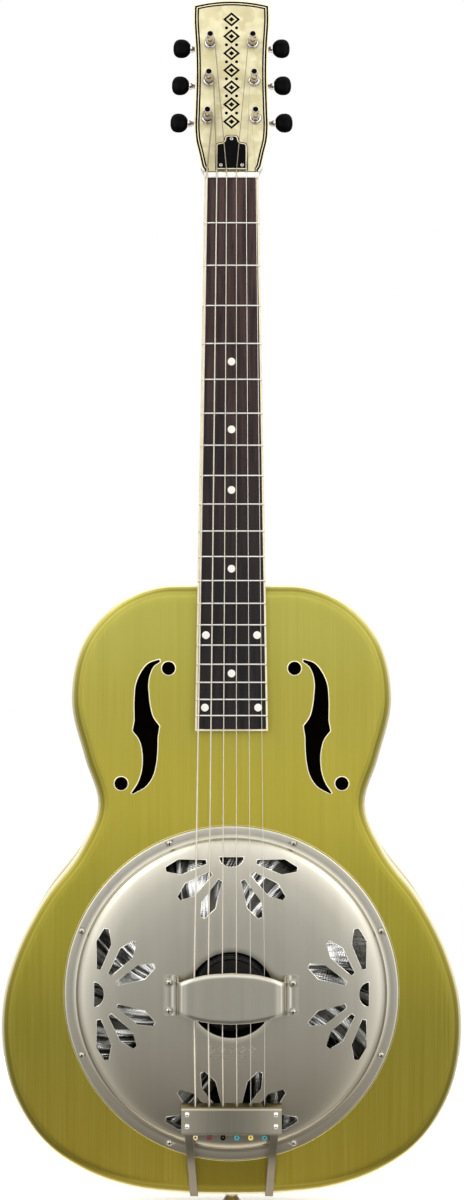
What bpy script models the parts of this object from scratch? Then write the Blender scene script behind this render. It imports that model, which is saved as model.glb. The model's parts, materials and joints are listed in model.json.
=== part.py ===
"""A single-cone resonator guitar with a metal body, as the separate pieces that it is assembled from.

Units are metres. +Z runs up to the head, the front faces -Y, and +X is on the right seen from the front.
The origin is the centre of the end button's flat outer face, and y = 0 is the middle of the body's depth.
Most pieces are modelled in one of three front frames, whose local X is right, local Y is up along the piece
and local Z is the height in front of its face: the body's top plate, the fingerboard and the head.
"""

from math import atan2, copysign, cos, pi, radians, sin, sqrt

import bmesh
import bpy
from mathutils import Vector

GAP = 0.0003  # clearance between touching pieces
SEAM = 0.0008  # clearance between the body's rolled edges and its sides
REACH = 0.01  # how far a cutter goes past what it cuts

# Body, from sheet metal
BODY_DEPTH = 0.083
BODY_END = 0.4916  # height of the straight edge where the neck meets the body
SHEET = 0.0012
ROLL_WIDTH = 0.010
ROLL_DEPTH = 0.006
ROLL_STEPS = 3
OUTLINE_STEP = 0.021
HALF_OUTLINE = [  # (half width, height) of the body, from the tail up to the neck
    (0.0000, 0.0140),
    (0.0400, 0.0152),
    (0.0765, 0.0195),
    (0.1130, 0.0315),
    (0.1430, 0.0510),
    (0.1690, 0.0890),
    (0.1790, 0.1290),
    (0.1785, 0.1670),
    (0.1675, 0.2060),
    (0.1470, 0.2455),
    (0.1180, 0.2850),
    (0.1045, 0.3190),
    (0.1150, 0.3560),
    (0.1253, 0.4020),
    (0.1150, 0.4490),
    (0.0860, 0.4795),
    (0.0590, 0.4902),
    (0.0300, 0.4916),
    (0.0000, 0.4916),
]

# Sound holes: an S opening with a notch on each side and a round hole by each tip, mirrored left and right
S_OUTER_EDGE = [
    (0.0563, 0.4328),
    (0.0649, 0.4297),
    (0.0711, 0.4220),
    (0.0747, 0.4130),
    (0.0757, 0.4032),
    (0.0757, 0.3852),
    (0.0772, 0.3772),
    (0.0720, 0.3700),
    (0.0698, 0.3619),
    (0.0693, 0.3539),
    (0.0702, 0.3449),
    (0.0729, 0.3368),
    (0.0781, 0.3287),
]
S_INNER_EDGE = [
    (0.0770, 0.3279),
    (0.0666, 0.3341),
    (0.0613, 0.3422),
    (0.0590, 0.3511),
    (0.0579, 0.3619),
    (0.0577, 0.3718),
    (0.0563, 0.3808),
    (0.0613, 0.3879),
    (0.0635, 0.3960),
    (0.0646, 0.4050),
    (0.0650, 0.4140),
    (0.0635, 0.4220),
    (0.0603, 0.4279),
    (0.0559, 0.4310),
]
ROUND_HOLES = [(0.0492, 0.4259), (0.0862, 0.3359)]
ROUND_HOLE_RADIUS = 0.0052
ROUND_HOLE_SIDES = 20

# Resonator, centred under the saddle
CENTRE_HEIGHT = 0.1724
WELL_RADIUS = 0.1173
WELL_FLANGE_RADIUS = 0.123
WELL_DEPTH = 0.0258
WELL_LEDGE = 0.0125
WELL_WALL = 0.0012
CONE_THICKNESS = 0.0006
CONE_HOLE_RADIUS = 0.002
CONE_CROWN_RADIUS = 0.028
CONE_SHOULDER_RADIUS = 0.033
CONE_SHOULDER_DROP = 0.0015
CONE_FOOT_RADIUS = 0.112
CONE_EDGE_RADIUS = 0.1158
TURNED_SEGMENTS = 32
BISCUIT_RADIUS = 0.027
BISCUIT_BASE = 0.0018
BISCUIT_TOP = 0.0093
BISCUIT_SIDES = 28
SADDLE_HALF_LENGTH = 0.0295
SADDLE_THICKNESS = 0.003
SADDLE_SEAT_DEPTH = 0.003
SADDLE_TOP_SHARE = 0.6  # of its thickness
SADDLE_STATIONS = 7

# Cover plate
COVER_RADIUS = 0.13025
COVER_SHEET = 0.001
COVER_HOLE_RADIUS = 0.033
COVER_PROFILE = [  # (radius, height) of the outer surface, from the centre hole out
    (COVER_HOLE_RADIUS, 0.0104),
    (0.065, 0.0098),
    (0.092, 0.0086),
    (0.1135, 0.0068),
    (0.1205, 0.0056),
    (0.1224, 0.0034),
    (0.1236, 0.0014),
    (COVER_RADIUS, 0.0013),
]
COVER_SEGMENTS = 40
SCREW_COUNT = 8
SCREW_CIRCLE_RADIUS = 0.1265
SCREW_HOLE_RADIUS = 0.0016
SCREW_SIDES = 8
SCREW_PROFILE = [  # (radius, height over the seat) from the top of the head down to the tip
    (0.0000, 0.0016),
    (0.0014, 0.0013),
    (0.0023, 0.0003),
    (0.0023, 0.0000),
    (0.0012, 0.0000),
    (0.0012, -0.0076),
    (0.0000, -0.0076),
]
FLOWER_CIRCLE_RADIUS = 0.107
FLOWER_EYE_HALF_WIDTH = 0.0095
FLOWER_EYE_DEPTH = 0.0077
FLOWER_EYE_STEPS = 8
PETAL_ANGLES = [10.8, 38.0, 64.3, 115.7, 142.0, 169.2]  # degrees from the tangent
PETAL_SHAPE = [(0.020, 0.0016), (0.041, 0.0060), (0.052, 0.0018)]  # (distance out, half width)

# Palm rest: (x, height, half length) of the arched strip, from the middle to one foot
PALM_REST_STATIONS = [
    (0.0000, 0.0305, 0.0200),
    (0.0200, 0.0305, 0.0184),
    (0.0370, 0.0305, 0.0138),
    (0.0405, 0.0290, 0.0125),
    (0.0420, 0.0250, 0.0125),
    (0.0425, 0.0150, 0.0150),
    (0.0440, 0.0126, 0.0155),
    (0.0540, 0.0120, 0.0150),
]
PALM_REST_SHEET = 0.0013
PALM_REST_EDGE_WIDTH = 0.003
PALM_REST_EDGE_DROP = 0.0012

# Tailpiece
TAIL_PLATE_HALF_WIDTH = 0.039
TAIL_PLATE_SHEET = 0.0012
TAIL_PLATE_SECTION = [  # (height up the body, height in front) of the outer surface
    (0.0649, 0.0086),
    (0.0641, 0.0095),
    (0.0641, 0.0132),
    (0.0652, 0.0142),
    (0.0838, 0.0142),
    (0.0852, 0.0136),
    (0.0884, 0.0099),
]
TAIL_SLOT_WIDTH = 0.0028
TAIL_LIP_SLOT_START = 0.0856  # height up the body
TAIL_EDGE_SLOT_END = 0.0668
TAIL_SLOT_TOP = 0.0126
TAIL_LEG_SLOT_TOP = 0.0129
LEG_WIDTH = 0.0063
LEG_THICKNESS = 0.0015
LEG_X_AT_PLATE = 0.0331
LEG_X_AT_TAIL = 0.0293
LEG_TAPER = (0.064, 0.014)  # heights up the body where a leg starts and stops leaning in
LEG_BEND = [(0.050, 0.0100), (0.037, 0.0060), (0.0275, 0.0028)]  # (height up the body, height in front)
LEG_TOP = 0.082
LEG_PLATE_EDGE = 0.061
TAIL_EDGE = 0.0146  # height of the body's edge behind the legs
LEG_STAND_OFF = 0.0015
TAB_HALF_DEPTH = 0.009
TAB_HEIGHTS = (0.0122, 0.0136)
TAB_INSET = 0.0005
BUTTON_PROFILE = [  # (radius, height) of the end button and its peg, from the peg's tip down
    (0.0000, 0.0340),
    (0.0024, 0.0335),
    (0.0030, 0.0300),
    (0.0030, 0.0119),
    (0.0070, 0.0119),
    (0.0072, 0.0105),
    (0.0048, 0.0075),
    (0.0055, 0.0045),
    (0.0075, 0.0022),
    (0.0072, 0.0006),
    (0.0062, 0.0000),
    (0.0000, 0.0000),
]
BUTTON_SEGMENTS = 14
PEG_HOLE_RADIUS = 0.0035
PEG_HOLE_SIDES = 12
PEG_HOLE_TOP = 0.036

# Neck and fingerboard
SCALE_LENGTH = 0.6305
FRET_COUNT = 19
NECK_TILT = radians(2.2)
NUT_HEIGHT = 0.8095  # height of the nut's front edge up the instrument
BOARD_ABOVE_BODY = 0.0075  # front of the fingerboard over the top plate where the neck meets the body
BOARD_LENGTH = 0.4322
BOARD_THICKNESS = 0.006
BOARD_RADIUS = 0.36
HALF_WIDTH_AT_NUT = 0.02125
HALF_WIDTH_AT_BOARD_END = 0.0285
BINDING_WIDTH = 0.0016
BINDING_RISE = 0.0005
FRET_WIDTH = 0.0022
FRET_HEIGHT = 0.0012
NUT_THICKNESS = 0.0049
NUT_RISE = 0.0014
ARCH_STATIONS = 7
FRET_STATIONS = 5
FRET_END_INSET = 0.0001
NECK_SECTIONS = [  # (local height, share of the board's width, depth of the back below the board's front)
    (0.018, 0.99, 0.0205),
    (0.000, 1.00, 0.0210),
    (-0.090, 1.00, 0.0216),
    (-0.200, 1.00, 0.0230),
    (-0.262, 1.00, 0.0245),
    (-0.285, 1.00, 0.0285),
    (-0.300, 0.99, 0.0375),
    (-0.309, 0.96, 0.0500),
    (-0.314, 0.93, 0.0600),
    (-0.321, 0.91, 0.0630),
    (-0.3214, 0.99, 0.0160),
    (-0.4319, 1.00, 0.0160),
]
NECK_POWER = 0.85  # under 1 makes its back fuller than an oval
NECK_STEPS = 12
STICK_HALF_WIDTH = 0.016
STICK_HALF_DEPTH = 0.013
ROD_LENGTH = 0.300
ROD_HALF_WIDTH = 0.0028
ROD_HALF_DEPTH = 0.004
ROD_DEPTH = 0.0108
ROD_NUT_RADIUS = 0.0036
ROD_NUT_RANGE = (0.012, 0.0205)
ROD_TIP = 0.0125
ROD_CHANNEL_RANGE = (0.020, -0.004)  # (its upper end, its depth below the fingerboard's front)

# Head
HEAD_TILT = radians(15)
HEAD_DROP = 0.001  # face of the head below the front of the fingerboard, behind the nut
VENEER = 0.0015
HEAD_THICKNESS = 0.015
HALF_HEAD = [  # (half width, height) of the head, from the nut up to the corner
    (0.0216, 0.0008),
    (0.0232, 0.0030),
    (0.0248, 0.0090),
    (0.0264, 0.0165),
    (0.0286, 0.0260),
    (0.0295, 0.0370),
    (0.0292, 0.0520),
    (0.0286, 0.0800),
    (0.0290, 0.1040),
    (0.0304, 0.1310),
    (0.0302, 0.1425),
]
HEAD_TOP = 0.1467
HEAD_TOP_STEPS = 4
ROD_COVER_OUTLINE = [  # right half, from the bottom middle up
    (0.0127, 0.0011),
    (0.0127, 0.0225),
    (0.0108, 0.0243),
    (0.0072, 0.0252),
    (0.0061, 0.0272),
    (0.0055, 0.0296),
    (0.0030, 0.0310),
]
ROD_COVER_THICKNESS = 0.0016
POCKET_HALF_WIDTH = 0.0052
POCKET_RANGE = (0.006, 0.0215)
POCKET_DEPTH = 0.0118

# Tuners, three on a plate on each side
POST_ROW_X = 0.0178
POST_ROW_HEIGHT = 0.0773
POST_ROW_LEAN = radians(1.8)
POST_SPACING = 0.03215
POST_RADIUS = 0.0028
POST_HOLE_SIDES = 12
POST_RISE = 0.018
POST_SIDES = 8
POST_PROFILE = [  # (height in front of the head's face, radius)
    (-0.0274, 0.0021),
    (-0.0266, 0.0024),
    (-0.0217, POST_RADIUS),
    (0.0040, POST_RADIUS),
    (0.0080, 0.0024),
    (0.0130, POST_RADIUS),
    (0.0174, POST_RADIUS),
    (POST_RISE, 0.0022),
]
BUSHING_RADIUS = 0.0051
BUSHING_SLEEVE_RADIUS = 0.0044
BUSHING_BORE = 0.0032
BUSHING_RISE = 0.0022
BUSHING_SLEEVE_LENGTH = 0.008
BUSHING_SIDES = 10
SHAFT_DEPTH = 0.0245  # axis of the button shafts behind the face of the head
SHAFT_OFFSET = 0.006  # and above the axis of the post that each one turns
SHAFT_RADIUS = 0.0013
SHAFT_SIDES = 8
HOLE_CLEARANCE = 0.0004
GEAR_TEETH = 18
GEAR_PITCH_RADIUS = 0.004
GEAR_TIP_RADIUS = 0.00445
GEAR_ROOT_RADIUS = 0.00345
GEAR_HALF_WIDTH = 0.0018
WORM_CREST_RADIUS = 0.0022
WORM_CREST_EDGE = 0.12  # of a turn, from the middle of the crest to its edge
WORM_ROOT_EDGE = 0.36  # and to the root
WORM_HALF_LENGTH = 0.0028
WORM_PITCH = 2 * pi * GEAR_PITCH_RADIUS / GEAR_TEETH
WORM_ROWS_PER_TURN = 3
WORM_RUN_OUT = 0.0002
SHAFT_INNER_END = 0.0072
SHAFT_OUTER_PROFILE = [  # (distance out from the post, radius) from the worm to the tip in the button
    (WORM_HALF_LENGTH + WORM_RUN_OUT, SHAFT_RADIUS),
    (0.0066, SHAFT_RADIUS),
    (0.0067, 0.0020),
    (0.0110, 0.0018),
    (0.0153, 0.0030),
    (0.0160, 0.0030),
    (0.0161, 0.0011),
    (0.0225, 0.0011),
]
BUTTON_SHAPE = [  # (distance out from the post, half height, half thickness), from the blind bore's end
    (0.0228, 0.0014, 0.0014),
    (0.0163, 0.0014, 0.0014),
    (0.0163, 0.0032, 0.0028),
    (0.0182, 0.0058, 0.0034),
    (0.0214, 0.0079, 0.0038),
    (0.0252, 0.0081, 0.0039),
    (0.0284, 0.0069, 0.0034),
    (0.0300, 0.0039, 0.0020),
]
EAR_OFFSET = 0.0055
EAR_THICKNESS = 0.0012
PLATE_THICKNESS = 0.0012
PLATE_HALF_WIDTH = 0.0095
PLATE_HALF_LENGTH = 0.050
EAR_HALF_HEIGHT = 0.0034
EAR_ROOT = 0.0006
BUTTON_SIDES = 10

# Strings, from the low one on the left to the high one on the right
STRING_RADII = [0.00066, 0.00053, 0.00041, 0.00031, 0.00022, 0.00018]
STRING_HALF_SPREAD_AT_NUT = 0.0192
STRING_HALF_SPREAD_AT_SADDLE = 0.0273
STRING_HALF_SPREAD_AT_TAIL = 0.0269
STRING_SHIFT_AT_SADDLE = -0.0017
STRING_SHIFT_AT_TAIL = -0.0012
STRING_RISE_AT_NUT = 0.0017  # underside over the fingerboard
STRING_RISE_AT_SADDLE = 0.0059
SADDLE_DISTANCE = 0.637  # from the nut's front edge, along the neck
BALL_END = (0.0618, 0.0108)  # (height up the body, height in front) where a string starts
LIP_SLOT = (0.0872, 0.0106)
STRING_TURNS = 2
TURN_POINTS = 7
FIRST_TURN_RISE = 0.0050
POST_ORDER = [(-1, -1), (-1, 0), (-1, 1), (1, 1), (1, 0), (1, -1)]  # (side, row) of each string's post


# ---------- scene, materials and helpers ----------


def clear_scene():
    for thing in list(bpy.data.objects):
        bpy.data.objects.remove(thing)


def new_collection(name):
    collection = bpy.data.collections.new(name)
    bpy.context.scene.collection.children.link(collection)
    return collection


def new_material(name, colour, roughness, metallic):
    made = bpy.data.materials.new(name)
    made.use_nodes = True
    shader = made.node_tree.nodes["Principled BSDF"]
    shader.inputs["Base Color"].default_value = (*colour, 1)
    shader.inputs["Roughness"].default_value = roughness
    shader.inputs["Metallic"].default_value = metallic
    made.diffuse_color = (*colour, 1)
    return made


def new_frame(name, location, rotation, parent=None):
    """An empty that pieces are parented to."""
    frame = bpy.data.objects.new(name, None)
    frame.location = location
    frame.rotation_euler = rotation
    frame.parent = parent
    parts.objects.link(frame)
    return frame


def add_part(name, mesh, look, frame=None, location=(0, 0, 0)):
    mesh.name = name
    mesh.materials.clear()
    mesh.materials.append(materials[look])
    mesh.shade_smooth()
    mesh.set_sharp_from_angle(angle=radians(35))
    part = bpy.data.objects.new(name, mesh)
    part.parent = frame
    part.location = location
    parts.objects.link(part)
    return part


def add_helper(name, mesh, frame=None, location=(0, 0, 0)):
    """A shape that only cuts or joins another."""
    helper = bpy.data.objects.new(name, mesh)
    helper.parent = frame
    helper.location = location
    helper.hide_render = True
    helper.display_type = "WIRE"
    cutters.objects.link(helper)
    return helper


def combine(part, helper, operation):
    modifier = part.modifiers.new(operation.lower(), "BOOLEAN")
    modifier.operation = operation
    modifier.solver = "EXACT"
    modifier.object = helper


def solidify(part, thickness):
    modifier = part.modifiers.new("thickness", "SOLIDIFY")
    modifier.thickness = thickness
    modifier.offset = -1
    modifier.use_even_offset = True


def turn(part, segments):
    """Turns a profile in the XZ plane into a solid about local Z."""
    modifier = part.modifiers.new("turned", "SCREW")
    modifier.axis = "Z"
    modifier.steps = segments
    modifier.render_steps = segments
    modifier.use_merge_vertices = True
    modifier.merge_threshold = 0.00005
    modifier.use_smooth_shade = True


def mesh_of(build):
    """The mesh that a function makes in a bmesh."""
    bm = bmesh.new()
    build(bm)
    mesh = bpy.data.meshes.new("shape")
    bm.to_mesh(mesh)
    bm.free()
    return mesh


def joined(meshes):
    """One mesh that holds separate shapes."""

    def build(bm):
        for mesh in meshes:
            bm.from_mesh(mesh)

    return mesh_of(build)


def moved(mesh, offset):
    for vertex in mesh.vertices:
        vertex.co += Vector(offset)
    return mesh


def box(low, high):
    def build(bm):
        made = bmesh.ops.create_cube(bm, size=1)
        size = Vector(high) - Vector(low)
        middle = (Vector(high) + Vector(low)) / 2
        bmesh.ops.scale(bm, vec=size, verts=made["verts"])
        bmesh.ops.translate(bm, vec=middle, verts=made["verts"])

    return mesh_of(build)


def cylinder(radius, low, high, sides, centre=(0, 0)):
    """A cylinder along local Z."""

    def build(bm):
        made = bmesh.ops.create_cone(
            bm, cap_ends=True, segments=sides, radius1=radius, radius2=radius, depth=high - low
        )
        bmesh.ops.translate(bm, vec=(*centre, (low + high) / 2), verts=made["verts"])

    return mesh_of(build)


def cross_cylinder(radius, low, high, sides, y, z):
    """A cylinder along local X."""
    mesh = cylinder(radius, low, high, sides)
    for vertex in mesh.vertices:
        vertex.co = (vertex.co.z, vertex.co.x + y, vertex.co.y + z)
    return mesh


def loft(rings, closed=True, capped=True):
    """A surface through rings of points, one after another."""

    def build(bm):
        rows = [[bm.verts.new(point) for point in ring] for ring in rings]
        around = len(rings[0]) if closed else len(rings[0]) - 1
        for row, following in zip(rows, rows[1:]):
            for i in range(around):
                j = (i + 1) % len(row)
                bm.faces.new((row[i], row[j], following[j], following[i]))
        if capped:
            bm.faces.new(rows[0])
            bm.faces.new(rows[-1])
        bmesh.ops.recalc_face_normals(bm, faces=bm.faces)

    return mesh_of(build)


def profile_mesh(points, closed=False):
    """A line in the XZ plane to be turned about Z, from (radius, height) points."""

    def build(bm):
        verts = [bm.verts.new((radius, 0, height)) for radius, height in points]
        for first, second in zip(verts, verts[1:]):
            bm.edges.new((first, second))
        if closed:
            bm.edges.new((verts[-1], verts[0]))

    return mesh_of(build)


def flat_outline(points, low, high):
    """A filled outline in the XY plane, made thick from one height to another."""
    curve = bpy.data.curves.new("outline", "CURVE")
    curve.dimensions = "2D"
    curve.fill_mode = "BOTH"
    curve.extrude = (high - low) / 2
    spline = curve.splines.new("POLY")
    spline.points.add(len(points) - 1)
    for spot, (x, y) in zip(spline.points, points):
        spot.co = (x, y, 0, 1)
    spline.use_cyclic_u = True
    guide = bpy.data.objects.new("outline", curve)
    cutters.objects.link(guide)
    bpy.context.view_layer.update()
    mesh = bpy.data.meshes.new_from_object(guide.evaluated_get(bpy.context.evaluated_depsgraph_get()))
    bpy.data.objects.remove(guide)
    bm = bmesh.new()
    bm.from_mesh(mesh)
    bmesh.ops.remove_doubles(bm, verts=bm.verts, dist=1e-6)
    bmesh.ops.recalc_face_normals(bm, faces=bm.faces)
    bm.to_mesh(mesh)
    bm.free()
    return moved(mesh, (0, 0, (low + high) / 2))


def tube(name, points, radius, look, frame=None):
    """A round wire through the points."""
    curve = bpy.data.curves.new(name, "CURVE")
    curve.dimensions = "3D"
    curve.bevel_depth = radius
    curve.bevel_resolution = 1
    curve.use_fill_caps = True
    curve.materials.append(materials[look])
    spline = curve.splines.new("POLY")
    spline.points.add(len(points) - 1)
    for spot, point in zip(spline.points, points):
        spot.co = (*point, 1)
    wire = bpy.data.objects.new(name, curve)
    wire.parent = frame
    parts.objects.link(wire)
    return wire


def blend(first, second, share):
    return first + (second - first) * share


def mirrored(half):
    """A closed outline, anticlockwise, from its right half listed from the bottom up."""
    left = [(-x, y) for x, y in reversed(half) if x > 0]
    return list(half) + left


def smooth_closed(points, step):
    """Points about a step apart on the closed curve through the given ones."""
    spots = [Vector(point) for point in points]
    count = len(spots)
    curve = []
    for i in range(count):
        before, start, end, after = (spots[(i + k) % count] for k in (-1, 0, 1, 2))
        lead = (start - before).length
        span = (end - start).length
        tail = (after - end).length
        out = (start - before) / lead - (end - before) / (lead + span) + (end - start) / span
        into = (end - start) / span - (after - start) / (span + tail) + (after - end) / tail
        pieces = max(1, round(span / step))
        for k in range(pieces):
            t = k / pieces
            rest = 1 - t
            place = start * rest * rest * (1 + 2 * t) + end * t * t * (3 - 2 * t)
            place += (out * rest - into * t) * t * rest * span
            curve.append((place.x, place.y))
    return curve


def inset(outline, distance):
    """The closed anticlockwise outline moved inwards."""
    moved_points = []
    for i, (x, y) in enumerate(outline):
        ahead = Vector(outline[(i + 1) % len(outline)])
        behind = Vector(outline[i - 1])
        along = (ahead - behind).normalized()
        moved_points.append((x - along.y * distance, y + along.x * distance))
    return moved_points


def ring_points(radius, count, x=0.0, axis="z", squash=1.0):
    """A circle, or an oval, about local X or Z at the place x along it."""
    points = []
    for i in range(count):
        angle = 2 * pi * i / count
        a = radius * cos(angle)
        b = radius * squash * sin(angle)
        points.append((x, a, b) if axis == "x" else (a, b, x))
    return points


# ---------- body ----------


def rolled_plate(outline):
    """A plate, front at height 0, whose edge rolls back to the sides."""
    rings = []
    for k in range(ROLL_STEPS + 1):
        angle = pi / 2 * k / ROLL_STEPS
        edge = inset(outline, ROLL_WIDTH * (1 - sin(angle)))
        height = -ROLL_DEPTH * (1 - cos(angle))
        rings.append([(x, y, height) for x, y in edge])

    def build(bm):
        rows = [[bm.verts.new(point) for point in ring] for ring in rings]
        bm.faces.new(rows[0])
        for row, following in zip(rows, rows[1:]):
            for i, start in enumerate(row):
                j = (i + 1) % len(row)
                bm.faces.new((start, following[i], following[j], row[j]))

    return mesh_of(build)


def sound_hole_cutters():
    shapes = []
    for side in (-1, 1):
        edge = [(side * x, y) for x, y in S_OUTER_EDGE + S_INNER_EDGE]
        shapes.append(flat_outline(edge, -REACH, REACH))
        for x, y in ROUND_HOLES:
            shapes.append(cylinder(ROUND_HOLE_RADIUS, -REACH, REACH, ROUND_HOLE_SIDES, (side * x, y)))
    return joined(shapes)


def screw_places():
    """Places of the cover plate's screws about the centre of the resonator."""
    angles = [2 * pi * (k + 0.5) / SCREW_COUNT for k in range(SCREW_COUNT)]
    return [(SCREW_CIRCLE_RADIUS * cos(a), SCREW_CIRCLE_RADIUS * sin(a)) for a in angles]


def screw_hole_cutters():
    holes = [cylinder(SCREW_HOLE_RADIUS, -REACH, REACH, SCREW_SIDES, place) for place in screw_places()]
    return joined(holes)


def peg_hole_cutter():
    """The hole up the middle for the end button's peg."""
    return cylinder(PEG_HOLE_RADIUS, 0, PEG_HOLE_TOP, PEG_HOLE_SIDES)


def make_body():
    outline = smooth_closed(mirrored(HALF_OUTLINE), OUTLINE_STEP)
    top = add_part("body_top", rolled_plate(outline), "finish", body_front)
    solidify(top, SHEET)
    combine(top, add_helper("sound_holes", sound_hole_cutters(), body_front), "DIFFERENCE")
    well_hole = cylinder(WELL_RADIUS - GAP, -REACH, REACH, COVER_SEGMENTS)
    combine(top, add_helper("well_hole", well_hole, centre_front), "DIFFERENCE")
    combine(top, add_helper("top_screw_holes", screw_hole_cutters(), centre_front), "DIFFERENCE")

    back = add_part("body_back", rolled_plate(outline), "finish", body_rear)
    solidify(back, SHEET)

    low = ROLL_DEPTH + SEAM - BODY_DEPTH
    high = -ROLL_DEPTH - SEAM
    wall = [[(x, y, height) for x, y in outline] for height in (low, high)]
    sides = add_part("body_sides", loft(wall, capped=False), "finish", body_front)
    solidify(sides, SHEET)
    middle = -BODY_DEPTH / 2
    reach = STICK_HALF_DEPTH + GAP
    stick_hole = box(
        (-STICK_HALF_WIDTH - GAP, BODY_END - REACH, middle - reach),
        (STICK_HALF_WIDTH + GAP, BODY_END + REACH, middle + reach),
    )
    combine(sides, add_helper("stick_hole", stick_hole, body_front), "DIFFERENCE")
    combine(sides, add_helper("peg_hole", peg_hole_cutter()), "DIFFERENCE")


def make_resonator():
    flange_top = -SHEET - GAP
    well_inner = WELL_RADIUS
    well_outer = WELL_RADIUS + WELL_WALL
    ledge_edge = WELL_RADIUS - WELL_LEDGE
    section = [
        (well_inner, flange_top),
        (WELL_FLANGE_RADIUS, flange_top),
        (WELL_FLANGE_RADIUS, flange_top - WELL_WALL),
        (well_outer, flange_top - WELL_WALL),
        (well_outer, -WELL_DEPTH - WELL_WALL),
        (ledge_edge, -WELL_DEPTH - WELL_WALL),
        (ledge_edge, -WELL_DEPTH),
        (well_inner, -WELL_DEPTH),
    ]
    well = add_part("resonator_well", profile_mesh(section, closed=True), "bare_metal", centre_front)
    turn(well, TURNED_SEGMENTS)

    rim = -WELL_DEPTH + GAP + CONE_THICKNESS
    crown = BISCUIT_BASE - GAP
    surface = [
        (CONE_HOLE_RADIUS, crown),
        (CONE_CROWN_RADIUS, crown),
        (CONE_SHOULDER_RADIUS, crown - CONE_SHOULDER_DROP),
        (CONE_FOOT_RADIUS, rim),
        (CONE_EDGE_RADIUS, rim),
    ]
    cone = add_part("resonator_cone", profile_mesh(surface), "spun_metal", centre_front)
    turn(cone, TURNED_SEGMENTS)
    solidify(cone, CONE_THICKNESS)

    biscuit = cylinder(BISCUIT_RADIUS, BISCUIT_BASE, BISCUIT_TOP, BISCUIT_SIDES)
    disc = add_part("bridge_biscuit", biscuit, "dark_wood", centre_front)
    seat = BISCUIT_TOP - SADDLE_SEAT_DEPTH
    slot = box(
        (-BISCUIT_RADIUS - REACH, -SADDLE_THICKNESS / 2 - GAP, seat - GAP),
        (BISCUIT_RADIUS + REACH, SADDLE_THICKNESS / 2 + GAP, BISCUIT_TOP + REACH),
    )
    combine(disc, add_helper("saddle_slot", slot, centre_front), "DIFFERENCE")

    rings = []
    half = SADDLE_THICKNESS / 2
    half_top = half * SADDLE_TOP_SHARE
    for k in range(SADDLE_STATIONS):
        share = k / (SADDLE_STATIONS - 1)
        x = STRING_SHIFT_AT_SADDLE + blend(-SADDLE_HALF_LENGTH, SADDLE_HALF_LENGTH, share)
        top = saddle_height(x)
        rings.append([(x, -half, seat), (x, half, seat), (x, half_top, top), (x, -half_top, top)])
    add_part("bridge_saddle", loft(rings), "pale_wood", centre_front)


def petal_outline(centre, toward):
    """One petal of a flower, pointing in a direction given as an angle."""
    along = Vector((cos(toward), sin(toward)))
    across = Vector((-along.y, along.x))
    one_side = [centre + along * out + across * half for out, half in PETAL_SHAPE]
    other_side = [centre + along * out - across * half for out, half in reversed(PETAL_SHAPE)]
    return [tuple(point) for point in one_side + other_side]


def eye_outline(centre, inward):
    """The half round opening at a flower's centre, flat side outwards."""
    along = Vector((cos(inward), sin(inward)))
    across = Vector((-along.y, along.x))
    points = []
    for k in range(FLOWER_EYE_STEPS + 1):
        angle = pi * k / FLOWER_EYE_STEPS
        side = across * FLOWER_EYE_HALF_WIDTH * cos(angle)
        points.append(tuple(centre + side + along * FLOWER_EYE_DEPTH * sin(angle)))
    return points


def petal_cutters():
    shapes = []
    for quarter in range(4):
        outward = quarter * pi / 2
        centre = Vector((cos(outward), sin(outward))) * FLOWER_CIRCLE_RADIUS
        shapes.append(flat_outline(eye_outline(centre, outward + pi), -REACH, 2 * REACH))
        for angle in PETAL_ANGLES:
            toward = outward + pi / 2 + radians(angle)
            shapes.append(flat_outline(petal_outline(centre, toward), -REACH, 2 * REACH))
    return joined(shapes)


def make_cover():
    cover = add_part("cover_plate", profile_mesh(COVER_PROFILE), "plated_metal", centre_front)
    turn(cover, COVER_SEGMENTS)
    solidify(cover, COVER_SHEET)
    combine(cover, add_helper("petals", petal_cutters(), centre_front), "DIFFERENCE")
    combine(cover, add_helper("cover_screw_holes", screw_hole_cutters(), centre_front), "DIFFERENCE")
    seat = COVER_PROFILE[-1][1] + GAP
    for number, (x, y) in enumerate(screw_places(), start=1):
        mesh = profile_mesh(SCREW_PROFILE)
        screw = add_part(f"cover_screw_{number}", mesh, "plated_metal", centre_front, (x, y, seat))
        turn(screw, SCREW_SIDES)


def make_palm_rest():
    right = PALM_REST_STATIONS
    stations = [(-x, height, half) for x, height, half in reversed(right[1:])] + right
    top = right[0][1]
    foot = right[-1][1]
    rows = []
    for x, height, half in stations:
        edge = half - PALM_REST_EDGE_WIDTH
        drop = height - PALM_REST_EDGE_DROP * (height - foot) / (top - foot)
        rows.append([(x, -half, drop), (x, -edge, height), (x, edge, height), (x, half, drop)])
    rest = add_part("palm_rest", loft(rows, closed=False, capped=False), "plated_metal", centre_front)
    solidify(rest, PALM_REST_SHEET)


# ---------- tailpiece and end button ----------


def string_x(number, half_spread, shift=0.0):
    return shift + blend(-half_spread, half_spread, number / 5)


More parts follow.
